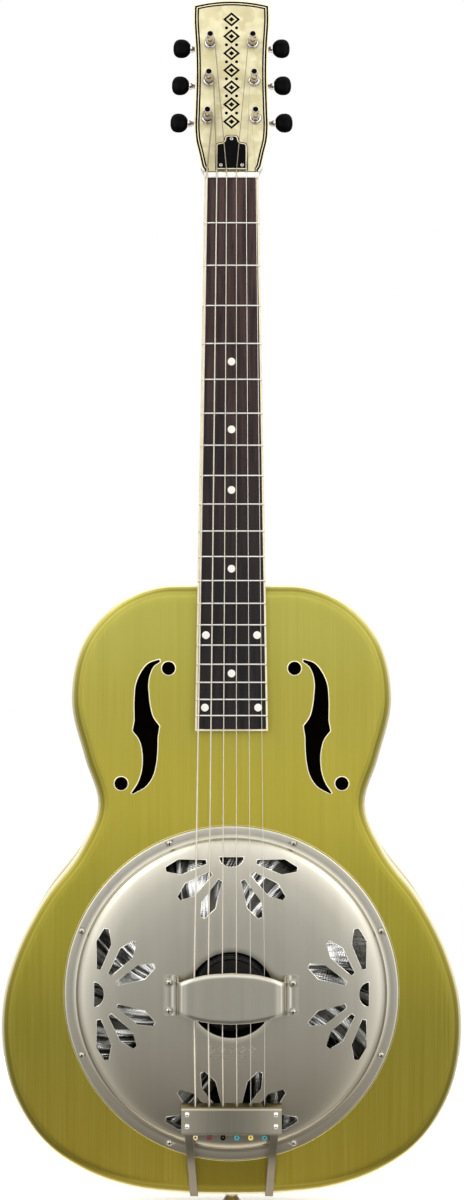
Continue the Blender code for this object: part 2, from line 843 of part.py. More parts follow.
def make_tail_plate():
    ends = (-TAIL_PLATE_HALF_WIDTH, TAIL_PLATE_HALF_WIDTH)
    rows = [[(x, y, z) for y, z in TAIL_PLATE_SECTION] for x in ends]
    plate = add_part("tailpiece_plate", loft(rows, closed=False, capped=False), "plated_metal", body_front)
    solidify(plate, TAIL_PLATE_SHEET)
    slots = []
    under = TAIL_PLATE_SECTION[0][0] - REACH
    over = TAIL_PLATE_SECTION[-1][0] + REACH
    for number in range(6):
        x = string_x(number, STRING_HALF_SPREAD_AT_TAIL, STRING_SHIFT_AT_TAIL)
        left = x - TAIL_SLOT_WIDTH / 2
        right = x + TAIL_SLOT_WIDTH / 2
        slots.append(box((left, TAIL_LIP_SLOT_START, 0), (right, over, TAIL_SLOT_TOP)))
        slots.append(box((left, under, 0), (right, TAIL_EDGE_SLOT_END, TAIL_SLOT_TOP)))
    for side in (-1, 1):
        near = side * (LEG_X_AT_PLATE - LEG_WIDTH / 2 - GAP)
        far = side * (TAIL_PLATE_HALF_WIDTH + REACH)
        left = min(near, far)
        right = max(near, far)
        slots.append(box((left, under, 0), (right, TAIL_EDGE_SLOT_END, TAIL_LEG_SLOT_TOP)))
    combine(plate, add_helper("tail_slots", joined(slots), body_front), "DIFFERENCE")


def leg_path():
    """Centre line of a tailpiece leg as (height up the body, height in front)."""
    behind_plate = TAIL_PLATE_SECTION[3][1] - TAIL_PLATE_SHEET - GAP - LEG_THICKNESS / 2
    path = [(LEG_TOP, behind_plate), (LEG_PLATE_EDGE, behind_plate)] + LEG_BEND
    for share in (0.35, 0.35 + 0.65 / 3, 1 - 0.65 / 3, 1):
        angle = pi / 2 * share
        y = TAIL_EDGE + ROLL_WIDTH * (1 - sin(angle)) - LEG_STAND_OFF * sin(angle)
        z = -ROLL_DEPTH * (1 - cos(angle)) + LEG_STAND_OFF * cos(angle)
        path.append((y, z))
    path.append((TAIL_EDGE - LEG_STAND_OFF, -BODY_DEPTH / 2 - TAB_HALF_DEPTH))
    return path


def make_tail_frame():
    path = leg_path()
    legs = []
    for side in (-1, 1):
        rings = []
        for i, (y, z) in enumerate(path):
            before = Vector(path[max(i - 1, 0)])
            after = Vector(path[min(i + 1, len(path) - 1)])
            along = (after - before).normalized()
            out = Vector((-along.y, along.x)) * LEG_THICKNESS / 2
            share = min(1, max(0, (LEG_TAPER[0] - y) / (LEG_TAPER[0] - LEG_TAPER[1])))
            x = side * blend(LEG_X_AT_PLATE, LEG_X_AT_TAIL, share)
            half = LEG_WIDTH / 2
            rings.append(
                [
                    (x - half, y - out.x, z - out.y),
                    (x + half, y - out.x, z - out.y),
                    (x + half, y + out.x, z + out.y),
                    (x - half, y + out.x, z + out.y),
                ]
            )
        legs.append(loft(rings))
    frame = add_part("tailpiece_frame", joined(legs), "plated_metal", body_front)
    reach = LEG_X_AT_TAIL + LEG_WIDTH / 2 - TAB_INSET
    half_depth = TAB_HALF_DEPTH - TAB_INSET
    tab = box((-reach, -half_depth, TAB_HEIGHTS[0]), (reach, half_depth, TAB_HEIGHTS[1]))
    combine(frame, add_helper("tail_tab", tab), "UNION")
    combine(frame, add_helper("tab_hole", peg_hole_cutter()), "DIFFERENCE")


def make_end_button():
    turn(add_part("end_button", profile_mesh(BUTTON_PROFILE), "black_plastic"), BUTTON_SEGMENTS)


# ---------- neck and fingerboard, in the frame of the fingerboard ----------


def half_width(y):
    """Half the fingerboard's width at a place along it, 0 at the nut and negative towards the body."""
    return blend(HALF_WIDTH_AT_NUT, HALF_WIDTH_AT_BOARD_END, max(0, -y) / BOARD_LENGTH)


def arch(x):
    return -x * x / (2 * BOARD_RADIUS)


def neck_section(y, share, depth):
    half = half_width(y) * share
    top = -BOARD_THICKNESS - GAP
    points = []
    for k in range(NECK_STEPS + 1):
        angle = pi * k / NECK_STEPS
        x = half * copysign(abs(cos(angle)) ** NECK_POWER, cos(angle))
        points.append((x, y, top - (depth + top) * sin(angle) ** NECK_POWER))
    return points


def head_outline():
    corner = HALF_HEAD[-1]
    arc = []
    for k in range(1, HEAD_TOP_STEPS):
        share = k / HEAD_TOP_STEPS
        arc.append((corner[0] * (1 - share), blend(corner[1], HEAD_TOP, 1 - (1 - share) ** 2)))
    return mirrored(HALF_HEAD + arc + [(0.0, HEAD_TOP)])


def bushing_holes():
    """The holes for the posts, in the frame of the head."""
    holes = []
    for side in (-1, 1):
        for row in (-1, 0, 1):
            x = side * (POST_ROW_X - row * POST_SPACING * sin(POST_ROW_LEAN))
            y = POST_ROW_HEIGHT + row * POST_SPACING * cos(POST_ROW_LEAN)
            bore = BUSHING_SLEEVE_RADIUS + GAP
            holes.append(cylinder(bore, -2 * HEAD_THICKNESS, REACH, POST_HOLE_SIDES, (x, y)))
    return joined(holes)


def rod_pocket():
    low, high = POCKET_RANGE
    return box((-POCKET_HALF_WIDTH, low, -POCKET_DEPTH), (POCKET_HALF_WIDTH, high, REACH))


def make_neck():
    rings = [neck_section(*section) for section in NECK_SECTIONS]
    neck = add_part("neck", loft(rings), "neck_wood", neck_front)
    head = flat_outline(head_outline(), -VENEER - GAP - HEAD_THICKNESS, -VENEER - GAP)
    combine(neck, add_helper("head_wood", head, head_front), "UNION")
    top_plate = -BODY_DEPTH / 2 - GAP
    body_space = box((-COVER_RADIUS, top_plate, CENTRE_HEIGHT), (COVER_RADIUS, BODY_DEPTH, BODY_END + GAP))
    combine(neck, add_helper("body_space", body_space), "DIFFERENCE")
    beyond = HALF_WIDTH_AT_NUT + REACH
    nut_space = box((-beyond, 0, -BOARD_THICKNESS - GAP), (beyond, NUT_THICKNESS, REACH))
    combine(neck, add_helper("nut_space", nut_space, neck_front), "DIFFERENCE")
    channel = box(
        (-ROD_HALF_WIDTH - GAP, -ROD_LENGTH - GAP, -ROD_DEPTH - ROD_HALF_DEPTH - GAP),
        (ROD_HALF_WIDTH + GAP, *ROD_CHANNEL_RANGE),
    )
    combine(neck, add_helper("rod_channel", channel, neck_front), "DIFFERENCE")
    combine(neck, add_helper("rod_pocket", rod_pocket(), head_front), "DIFFERENCE")
    combine(neck, add_helper("post_holes", bushing_holes(), head_front), "DIFFERENCE")

    low = HALF_OUTLINE[0][1] + SHEET + SEAM
    bar = box((-STICK_HALF_WIDTH, -STICK_HALF_DEPTH, low), (STICK_HALF_WIDTH, STICK_HALF_DEPTH, BODY_END))
    stick = add_part("neck_stick", bar, "neck_wood")
    combine(stick, add_helper("stick_peg_hole", peg_hole_cutter()), "DIFFERENCE")


def make_truss_rod():
    bar = box(
        (-ROD_HALF_WIDTH, -ROD_LENGTH, -ROD_DEPTH - ROD_HALF_DEPTH),
        (ROD_HALF_WIDTH, ROD_TIP, -ROD_DEPTH + ROD_HALF_DEPTH),
    )
    rod = add_part("truss_rod", bar, "bare_metal", neck_front)
    nut_mesh = cylinder(ROD_NUT_RADIUS, *ROD_NUT_RANGE, 6)
    for vertex in nut_mesh.vertices:
        vertex.co = (vertex.co.y, vertex.co.z, vertex.co.x - ROD_DEPTH)
    combine(rod, add_helper("rod_nut", nut_mesh, neck_front), "UNION")


def arched_bar(y_low, y_high, half_low, half_high, bottom, rise, stations=ARCH_STATIONS):
    """A bar across the neck whose top follows the fingerboard's arch; a bottom of None follows it too."""
    rings = []
    for k in range(stations):
        share = blend(-1, 1, k / (stations - 1))
        low_x = half_low * share
        high_x = half_high * share
        under_low = arch(low_x) + GAP if bottom is None else bottom
        under_high = arch(high_x) + GAP if bottom is None else bottom
        rings.append(
            [
                (low_x, y_low, under_low),
                (high_x, y_high, under_high),
                (high_x, y_high, arch(high_x) + rise),
                (low_x, y_low, arch(low_x) + rise),
            ]
        )
    return loft(rings)


def fret_place(number):
    return -SCALE_LENGTH * (1 - 2 ** (-number / 12))


def make_fingerboard():
    end = -BOARD_LENGTH + BINDING_WIDTH + GAP
    inside = BINDING_WIDTH + GAP
    board = arched_bar(end, 0, half_width(end) - inside, half_width(0) - inside, -BOARD_THICKNESS, 0)
    add_part("fingerboard", board, "board_wood", neck_front)

    frets = []
    for number in range(1, FRET_COUNT + 1):
        y = fret_place(number)
        half = half_width(y) - FRET_END_INSET
        low = y - FRET_WIDTH / 2
        high = y + FRET_WIDTH / 2
        frets.append(arched_bar(low, high, half, half, None, FRET_HEIGHT, FRET_STATIONS))
    corners = [
        (-half_width(0), 0, 1, 0),
        (-half_width(-BOARD_LENGTH), -BOARD_LENGTH, 1, 1),
        (half_width(-BOARD_LENGTH), -BOARD_LENGTH, -1, 1),
        (half_width(0), 0, -1, 0),
    ]
    rings = []
    for x, y, inward, up in corners:
        inner_x = x + inward * BINDING_WIDTH
        inner_y = y + up * BINDING_WIDTH
        top = arch(x) + BINDING_RISE
        bottom = -BOARD_THICKNESS
        rings.append([(x, y, bottom), (x, y, top), (inner_x, inner_y, top), (inner_x, inner_y, bottom)])
    ladder = add_part("frets_and_binding", loft(rings), "fret_metal", neck_front)
    combine(ladder, add_helper("fret_bars", joined(frets), neck_front), "UNION")

    nut_mesh = arched_bar(
        GAP, NUT_THICKNESS - GAP, HALF_WIDTH_AT_NUT, HALF_WIDTH_AT_NUT, -BOARD_THICKNESS, NUT_RISE
    )
    add_part("nut", nut_mesh, "ivory_plastic", neck_front)


# ---------- head, in its own frame ----------


def make_veneer():
    veneer = add_part("head_veneer", flat_outline(head_outline(), -VENEER, 0), "pearl_plastic", head_front)
    combine(veneer, add_helper("veneer_post_holes", bushing_holes(), head_front), "DIFFERENCE")
    combine(veneer, add_helper("veneer_pocket", rod_pocket(), head_front), "DIFFERENCE")
    cover = flat_outline(mirrored(ROD_COVER_OUTLINE), GAP, GAP + ROD_COVER_THICKNESS)
    add_part("truss_rod_cover", cover, "black_plastic", head_front)


def make_tuner_plate(name, frame):
    front = -VENEER - 2 * GAP - HEAD_THICKNESS
    back = front - PLATE_THICKNESS
    base = box((-PLATE_HALF_WIDTH, -PLATE_HALF_LENGTH, back), (PLATE_HALF_WIDTH, PLATE_HALF_LENGTH, front))
    plate = add_part(name, base, "plated_metal", frame)
    ears = []
    holes = []
    for row in (-1, 0, 1):
        y = row * POST_SPACING + SHAFT_OFFSET
        for x in (-EAR_OFFSET, EAR_OFFSET):
            low = (x - EAR_THICKNESS / 2, y - EAR_HALF_HEIGHT, -SHAFT_DEPTH - EAR_HALF_HEIGHT)
            high = (x + EAR_THICKNESS / 2, y + EAR_HALF_HEIGHT, back + EAR_ROOT)
            ears.append(box(low, high))
        bore = SHAFT_RADIUS + HOLE_CLEARANCE
        holes.append(cross_cylinder(bore, -PLATE_HALF_WIDTH, PLATE_HALF_WIDTH, SHAFT_SIDES, y, -SHAFT_DEPTH))
        place = (0, row * POST_SPACING)
        bore = POST_RADIUS + HOLE_CLEARANCE
        holes.append(cylinder(bore, back - EAR_ROOT, front + EAR_ROOT, POST_HOLE_SIDES, place))
    combine(plate, add_helper(f"{name}_ears", joined(ears), frame), "UNION")
    combine(plate, add_helper(f"{name}_holes", joined(holes), frame), "DIFFERENCE")


def gear_outline():
    """Pointed teeth, with a gap facing the worm on local +Y."""
    points = []
    for k in range(2 * GEAR_TEETH):
        angle = pi / 2 + pi * k / GEAR_TEETH
        radius = GEAR_ROOT_RADIUS if k % 2 == 0 else GEAR_TIP_RADIUS
        points.append((radius * cos(angle), radius * sin(angle)))
    return points


def post_mesh():
    return loft([ring_points(radius, POST_SIDES, height) for height, radius in POST_PROFILE])


def bushing_mesh():
    section = [
        (BUSHING_BORE, BUSHING_RISE),
        (BUSHING_RADIUS * 0.88, BUSHING_RISE * 0.9),
        (BUSHING_RADIUS, GAP),
        (BUSHING_SLEEVE_RADIUS, GAP),
        (BUSHING_SLEEVE_RADIUS, -BUSHING_SLEEVE_LENGTH),
        (BUSHING_BORE, -BUSHING_SLEEVE_LENGTH),
    ]
    return profile_mesh(section, closed=True)


def worm_ring(x):
    """Points round the worm, a right-handed thread with a crest facing the gear at x = 0."""
    points = []
    for i in range(SHAFT_SIDES):
        angle = 2 * pi * i / SHAFT_SIDES
        turns = x / WORM_PITCH - (angle - pi) / (2 * pi)
        off_crest = abs(turns - round(turns))
        share = min(1, max(0, (WORM_ROOT_EDGE - off_crest) / (WORM_ROOT_EDGE - WORM_CREST_EDGE)))
        radius = blend(SHAFT_RADIUS, WORM_CREST_RADIUS, share)
        points.append((x, radius * cos(angle), radius * sin(angle)))
    return points


def shaft_mesh(side):
    """A button's shaft along local X: the inner bearing, the worm, a collar, a ferrule and the tip."""
    rows = round(2 * WORM_HALF_LENGTH / WORM_PITCH * WORM_ROWS_PER_TURN)
    ends = (-SHAFT_INNER_END, -WORM_HALF_LENGTH - WORM_RUN_OUT)
    inner = [ring_points(SHAFT_RADIUS, SHAFT_SIDES, side * x, "x") for x in ends]
    worm = [worm_ring(side * blend(-WORM_HALF_LENGTH, WORM_HALF_LENGTH, k / rows)) for k in range(rows + 1)]
    outer = [ring_points(radius, SHAFT_SIDES, side * x, "x") for x, radius in SHAFT_OUTER_PROFILE]
    return loft(inner + worm + outer)


def button_mesh(side):
    """An oval button, pushed on to the shaft's tip, which it takes in a blind bore."""
    rings = []
    for x, half, thick in BUTTON_SHAPE:
        rings.append(ring_points(half, BUTTON_SIDES, side * x, "x", squash=thick / half))
    return loft(rings)


def make_tuners():
    number = {}
    for index, place in enumerate(POST_ORDER, start=1):
        number[place] = index
    for side, side_name in ((-1, "left"), (1, "right")):
        frame = new_frame(
            f"tuner_frame_{side_name}",
            (side * POST_ROW_X, POST_ROW_HEIGHT, 0),
            (0, 0, side * POST_ROW_LEAN),
            head_front,
        )
        make_tuner_plate(f"tuner_plate_{side_name}", frame)
        for row in (-1, 0, 1):
            index = number[(side, row)]
            y = row * POST_SPACING
            place = (0, y, 0)
            bushing = add_part(f"tuner_bushing_{index}", bushing_mesh(), "plated_metal", frame, place)
            turn(bushing, BUSHING_SIDES)
            post = add_part(f"tuner_post_{index}", post_mesh(), "plated_metal", frame, place)
            low = -SHAFT_DEPTH - GEAR_HALF_WIDTH
            high = -SHAFT_DEPTH + GEAR_HALF_WIDTH
            gear = add_helper(f"gear_{index}", flat_outline(gear_outline(), low, high), frame, place)
            combine(post, gear, "UNION")
            axis = (0, y + SHAFT_OFFSET, -SHAFT_DEPTH)
            add_part(f"tuner_shaft_{index}", shaft_mesh(side), "plated_metal", frame, axis)
            add_part(f"tuner_button_{index}", button_mesh(side), "black_plastic", frame, axis)


# ---------- strings ----------


def post_in_head(side, row):
    """A post's axis in the frame of the head."""
    x = side * (POST_ROW_X - row * POST_SPACING * sin(POST_ROW_LEAN))
    y = POST_ROW_HEIGHT + row * POST_SPACING * cos(POST_ROW_LEAN)
    return Vector((x, y))


def wound_turns(start, side, post, radius):
    """A string's path from the nut to its post and round it, in the frame of the head."""
    wrap = POST_RADIUS + GAP + radius
    reach = start.to_2d() - post
    facing = atan2(reach.y, reach.x)
    spread = pi / 2 - atan2(wrap, sqrt(reach.length_squared - wrap * wrap))
    first = facing + spread if side < 0 else facing - spread
    direction = 1 if side < 0 else -1
    climb = 2 * radius + GAP
    count = round(STRING_TURNS * TURN_POINTS)
    points = []
    for k in range(count + 1):
        angle = first + direction * 2 * pi * k / TURN_POINTS
        height = FIRST_TURN_RISE + radius + climb * k / TURN_POINTS
        points.append((post.x + wrap * cos(angle), post.y + wrap * sin(angle), height))
    return points


def saddle_height(x):
    """Top of the saddle over the top plate."""
    slope = SADDLE_DISTANCE * sin(NECK_TILT) - (NUT_HEIGHT - BODY_END) * sin(NECK_TILT) / cos(NECK_TILT)
    return BOARD_ABOVE_BODY + slope + (STRING_RISE_AT_SADDLE + arch(x)) * cos(NECK_TILT) - GAP


def make_strings():
    head_from_world = head_front.matrix_world.inverted()
    for index, (side, row) in enumerate(POST_ORDER):
        radius = STRING_RADII[index]
        tail_x = string_x(index, STRING_HALF_SPREAD_AT_TAIL, STRING_SHIFT_AT_TAIL)
        saddle_x = string_x(index, STRING_HALF_SPREAD_AT_SADDLE, STRING_SHIFT_AT_SADDLE)
        nut_x = string_x(index, STRING_HALF_SPREAD_AT_NUT)
        on_saddle = saddle_height(saddle_x) + GAP + radius
        over_nut = arch(nut_x) + STRING_RISE_AT_NUT + radius
        route = [
            body_front.matrix_world @ Vector((tail_x, BALL_END[0], BALL_END[1])),
            body_front.matrix_world @ Vector((tail_x, LIP_SLOT[0], LIP_SLOT[1])),
            centre_front.matrix_world @ Vector((saddle_x, 0, on_saddle)),
            neck_front.matrix_world @ Vector((nut_x, 0, over_nut)),
            neck_front.matrix_world @ Vector((nut_x, NUT_THICKNESS, over_nut)),
        ]
        start = head_from_world @ route[-1]
        turns = wound_turns(start, side, post_in_head(side, row), radius)
        route += [head_front.matrix_world @ Vector(point) for point in turns]
        tube(f"string_{index + 1}", route, radius, "string_metal")


# ---------- assembly ----------

clear_scene()
parts = new_collection("resonator_guitar")
cutters = new_collection("cutters")
materials = {
    "finish": new_material("olive_finish", (0.38, 0.34, 0.09), 0.34, 0.75),
    "plated_metal": new_material("brushed_nickel", (0.50, 0.47, 0.41), 0.32, 1.0),
    "bare_metal": new_material("bare_metal", (0.45, 0.44, 0.41), 0.4, 1.0),
    "spun_metal": new_material("spun_aluminium", (0.78, 0.78, 0.78), 0.28, 1.0),
    "fret_metal": new_material("fret_metal", (0.75, 0.72, 0.62), 0.3, 0.8),
    "string_metal": new_material("string_metal", (0.72, 0.68, 0.58), 0.3, 1.0),
    "neck_wood": new_material("neck_wood", (0.10, 0.035, 0.02), 0.35, 0.0),
    "board_wood": new_material("fingerboard_wood", (0.03, 0.018, 0.015), 0.45, 0.0),
    "pale_wood": new_material("maple", (0.60, 0.42, 0.22), 0.5, 0.0),
    "dark_wood": new_material("ebonised_wood", (0.015, 0.012, 0.010), 0.45, 0.0),
    "pearl_plastic": new_material("pearl_plastic", (0.72, 0.66, 0.42), 0.25, 0.0),
    "ivory_plastic": new_material("ivory_plastic", (0.85, 0.80, 0.66), 0.4, 0.0),
    "black_plastic": new_material("black_plastic", (0.012, 0.012, 0.012), 0.25, 0.0),
}

quarter_turn = pi / 2
board_rise = (NUT_HEIGHT - BODY_END) * sin(NECK_TILT) / cos(NECK_TILT)
nut_y = -BODY_DEPTH / 2 - BOARD_ABOVE_BODY + board_rise
body_front = new_frame("body_front", (0, -BODY_DEPTH / 2, 0), (quarter_turn, 0, 0))
body_rear = new_frame("body_rear", (0, BODY_DEPTH / 2, 0), (quarter_turn, 0, pi))
centre_front = new_frame("centre_front", (0, -BODY_DEPTH / 2, CENTRE_HEIGHT), (quarter_turn, 0, 0))
neck_front = new_frame("neck_front", (0, nut_y, NUT_HEIGHT), (quarter_turn - NECK_TILT, 0, 0))
head_front = new_frame(
    "head_front", (0, NUT_THICKNESS, -HEAD_DROP), (NECK_TILT - HEAD_TILT, 0, 0), neck_front
)
bpy.context.view_layer.update()

make_body()
make_resonator()
make_cover()
make_palm_rest()
make_tail_plate()
make_tail_frame()
make_end_button()
make_neck()
make_truss_rod()
make_fingerboard()
make_veneer()
make_tuners()
make_strings()
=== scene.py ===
"""Looks for the resonator guitar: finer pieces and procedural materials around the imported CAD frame.

Units are metres, in the CAD's frame: +Z up to the head, the front faces -Y, and +X is on the right from
the front. Most pieces are modelled in the frame of the face that they lie on, whose local X is right, local
Y is up along the piece and local Z is the height in front of that face, and are then moved into place.
"""

import json
from math import atan2, copysign, cos, pi, radians, sin, sqrt

import bmesh
import bpy
from mathutils import Matrix, Vector

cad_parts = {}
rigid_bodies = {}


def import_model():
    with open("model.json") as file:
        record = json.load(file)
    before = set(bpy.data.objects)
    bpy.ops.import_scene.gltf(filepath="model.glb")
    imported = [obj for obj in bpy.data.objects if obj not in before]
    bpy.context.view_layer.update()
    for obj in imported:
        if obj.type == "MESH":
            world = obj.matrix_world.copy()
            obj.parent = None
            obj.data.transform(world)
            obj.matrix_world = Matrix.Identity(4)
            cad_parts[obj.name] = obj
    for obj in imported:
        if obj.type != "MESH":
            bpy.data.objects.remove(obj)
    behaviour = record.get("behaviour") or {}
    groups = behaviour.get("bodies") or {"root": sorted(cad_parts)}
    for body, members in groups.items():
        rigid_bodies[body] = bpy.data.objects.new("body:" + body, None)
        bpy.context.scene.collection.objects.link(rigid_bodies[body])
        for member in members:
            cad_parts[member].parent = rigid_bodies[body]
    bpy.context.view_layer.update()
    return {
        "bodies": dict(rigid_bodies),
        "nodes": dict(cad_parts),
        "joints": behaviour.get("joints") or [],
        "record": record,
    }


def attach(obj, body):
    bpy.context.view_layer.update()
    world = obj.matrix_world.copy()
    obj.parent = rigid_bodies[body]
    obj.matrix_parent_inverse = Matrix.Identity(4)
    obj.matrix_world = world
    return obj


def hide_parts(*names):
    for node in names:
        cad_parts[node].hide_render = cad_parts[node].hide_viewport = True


GAP = 0.0003  # clearance between touching pieces, as in the CAD
REACH = 0.01  # how far a cutter goes past what it cuts
SHARPEST_MITRE = 0.4  # least cosine of the half angle at which an inset corner is still mitred in full

# Body
BODY_DEPTH = 0.083
BODY_END = 0.4916
SHEET = 0.0012
ROLL_WIDTH = 0.010
ROLL_DEPTH = 0.006
ROLL_STEPS = 10
SEAM = 0.0008
OUTLINE_STEP = 0.006
HALF_OUTLINE = [  # (half width, height) of the body, from the tail up to the neck
    (0.0000, 0.0140), (0.0400, 0.0152), (0.0765, 0.0195), (0.1130, 0.0315), (0.1430, 0.0510),
    (0.1690, 0.0890), (0.1790, 0.1290), (0.1785, 0.1670), (0.1675, 0.2060), (0.1470, 0.2455),
    (0.1180, 0.2850), (0.1045, 0.3190), (0.1150, 0.3560), (0.1253, 0.4020), (0.1150, 0.4490),
    (0.0860, 0.4795), (0.0590, 0.4902), (0.0300, 0.4916), (0.0000, 0.4916),
]
# Edge of the right-hand sound hole, as smooth runs between its corners, clockwise from the front
SOUND_HOLE_RUNS = [
    [
        (0.0770, 0.3279), (0.0666, 0.3341), (0.0613, 0.3422), (0.0590, 0.3511), (0.0579, 0.3619),
        (0.0577, 0.3718),
    ],
    [(0.0577, 0.3718), (0.0563, 0.3808)],
    [
        (0.0563, 0.3808), (0.0613, 0.3879), (0.0635, 0.3960), (0.0646, 0.4050), (0.0650, 0.4140),
        (0.0635, 0.4220), (0.0603, 0.4279), (0.0559, 0.4310),
    ],
    [(0.0559, 0.4310), (0.0563, 0.4328)],
    [
        (0.0563, 0.4328), (0.0649, 0.4297), (0.0711, 0.4220), (0.0747, 0.4130), (0.0757, 0.4032),
        (0.0757, 0.3852),
    ],
    [(0.0757, 0.3852), (0.0772, 0.3772)],
    [
        (0.0772, 0.3772), (0.0720, 0.3700), (0.0698, 0.3619), (0.0693, 0.3539), (0.0702, 0.3449),
        (0.0729, 0.3368), (0.0781, 0.3287),
    ],
    [(0.0781, 0.3287), (0.0770, 0.3279)],
]
SOUND_HOLE_STEP = 0.0014
OLIVE_AND_PAINTED_LIGHT_BY_HEIGHT = [  # (height, colour) of the lacquer, golden at the tail and greener towards the neck, with painted light: darker low on the body and lighter up it
    (0.03, (0.365, 0.270, 0.024)), (0.14, (0.300, 0.247, 0.024)), (0.23, (0.405, 0.345, 0.033)),
    (0.33, (0.530, 0.445, 0.052)), (0.40, (0.490, 0.425, 0.066)), (0.46, (0.500, 0.460, 0.086)),
]
NICKEL = ((0.50, 0.472, 0.385), (0.60, 0.572, 0.485))  # darkest and lightest tone of the plating
ROUND_HOLES = [(0.0492, 0.4259), (0.0862, 0.3359)]
ROUND_HOLE_RADIUS = 0.0052
HOLE_EDGE_SECTION = [  # (distance outwards, height)
    (0.0000, -0.0010), (0.0000, 0.0001), (0.0003, 0.00022), (0.0007, 0.00003), (0.0007, -0.0002),
]

# Resonator and cover plate
CENTRE_HEIGHT = 0.1724
WELL_RADIUS = 0.1173
WELL_DEPTH = 0.0258
CONE_SHEET = 0.0006
CONE_CROWN = [(0.002, 0.0), (0.0275, 0.0), (0.0300, 0.0004), (0.0330, 0.0016)]  # (radius, drop)
CONE_FOOT = 0.1120
CONE_RINGS = 40
CONE_RIPPLE = 0.00018
CONE_RIPPLES = 44
BISCUIT_RADIUS = 0.027
BISCUIT_BASE = 0.0018
BISCUIT_TOP = 0.0093
BISCUIT_EDGE = [(0.0012, 0.0), (0.0003, 0.0004), (0.0, 0.0012)]  # (in from the rim, down from the top)
SADDLE_HALF_LENGTH = 0.0295
SADDLE_THICKNESS = 0.003
SADDLE_SEAT_DEPTH = 0.003
SADDLE_STATIONS = 25
SADDLE_CROWN = [  # (share of the half thickness, depth below the top)
    (1, 0.004), (0.6, 0.0004), (0.3, 0.0), (-0.3, 0.0), (-0.6, 0.0004), (-1, 0.004),
]
COVER_RADIUS = 0.13025
COVER_SHEET = 0.001
COVER_SEGMENTS = 180
COVER_PROFILE = [  # (radius, height) of the outer surface, from the centre hole out
    (0.0330, 0.0096), (0.0335, 0.0103), (0.0350, 0.0105), (0.0650, 0.0100), (0.0920, 0.0088),
    (0.1060, 0.0076), (0.1150, 0.0063), (0.1190, 0.0054), (0.1202, 0.0045), (0.1208, 0.0026),
    (0.1215, 0.0013), (0.1290, 0.0013), (0.13025, 0.0009),
]
SCREW_COUNT = 8
SCREW_CIRCLE_RADIUS = 0.1265
SCREW_HOLE_RADIUS = 0.0016
COVER_SCREW = (0.0024, 0.0017)  # radius and height of the head
FLOWER_CIRCLE_RADIUS = 0.107
FLOWER_EYE_HALF_WIDTH = 0.0095
FLOWER_EYE_DEPTH = 0.0077
PETAL_ANGLES = [10.8, 38.0, 64.3, 115.7, 142.0, 169.2]  # degrees from the tangent
PETAL_SHAPE = [(0.020, 0.0016), (0.041, 0.0060), (0.052, 0.0018)]  # (distance out, half width)
PETAL_EDGE_SECTION = [  # (distance outwards, height)
    (-0.00005, -0.0006), (-0.00005, 0.00005), (0.0002, 0.00013), (0.00045, -0.0001),
]
COVER_SEAT_SECTION = [  # (radius, height)
    (0.13075, 0.0), (0.13085, 0.0003), (0.1310, 0.0004), (0.13125, 0.0003), (0.1314, 0.0),
]
COVER_LOZENGE_PITCH = 0.0078
COVER_LOZENGE_Y = -0.0425
COVER_BARS = [(-0.0475, 0.0185), (-0.0488, 0.0160)]  # (y, half length) under the lozenges

# Palm rest: (x, height, half length) of the arched strip, from the middle to one foot
PALM_REST_STATIONS = [
    (0.0000, 0.0305, 0.0200), (0.0200, 0.0305, 0.0184), (0.0365, 0.0305, 0.0140),
    (0.0395, 0.0299, 0.0128), (0.0412, 0.0280, 0.0125), (0.0419, 0.0250, 0.0125),
    (0.0425, 0.0155, 0.0148), (0.0430, 0.0133, 0.0153), (0.0445, 0.0122, 0.0155),
    (0.0540, 0.0120, 0.0155),
]
PALM_REST_SHEET = 0.0013
PALM_REST_EDGE_WIDTH = 0.0034
PALM_REST_EDGE_DROP = 0.0017
PALM_REST_CORNER = 0.0042
PALM_REST_SCREWS = [(-0.0487, 0.0098), (-0.0487, -0.0120), (0.0480, 0.0092), (0.0478, -0.0128)]
PALM_REST_SCREW = (0.0024, 0.0014)
WASHER_THICKNESS = 0.0004
WASHER_PROFILE = [(0, WASHER_THICKNESS), (0.0030, WASHER_THICKNESS), (0.0033, 0.0001), (0.0033, 0), (0, 0)]

# Tailpiece
TAIL_PLATE_HALF_WIDTH = 0.039
TAIL_PLATE_SHEET = 0.0012
TAIL_PLATE_SECTION = [  # (height up the body, height in front) of the outer surface
    (0.0649, 0.0086), (0.0642, 0.0095), (0.0641, 0.0130), (0.0644, 0.0138), (0.0652, 0.0142),
    (0.0659, 0.0142), (0.0829, 0.0142), (0.0836, 0.0142), (0.0846, 0.0139), (0.0855, 0.0131),
    (0.0884, 0.0099),
]
TAIL_SLOT_WIDTH = 0.0028
TAIL_LIP_SLOT_START = 0.0856
TAIL_EDGE_SLOT_END = 0.0668
TAIL_SLOT_TOP = 0.0126
TAIL_LEG_SLOT_TOP = 0.0129
RIVETS = [(side * 0.0345, height) for side in (-1, 1) for height in (0.0710, 0.0803)]
RIVET_PROFILE = [
    (0, 0.0012), (0.0010, 0.0011), (0.0018, 0.0007), (0.0022, 0.0002), (0.0023, -0.0002), (0, -0.0002),
]
LEG_WIDTH = 0.0063
LEG_THICKNESS = 0.0015
LEG_ROUNDING = 0.0004
LEG_X_AT_PLATE = 0.0331
LEG_X_AT_TAIL = 0.0293
LEG_TAPER = (0.064, 0.014)  # heights between which the legs draw together
LEG_BEND = [(0.050, 0.0100), (0.037, 0.0060), (0.0275, 0.0028)]  # (height up the body, height in front)
TAIL_EDGE = 0.0146
LEG_STAND_OFF = 0.0015
TAB_HALF_DEPTH = 0.009
TAB_HEIGHTS = (0.0122, 0.0136)
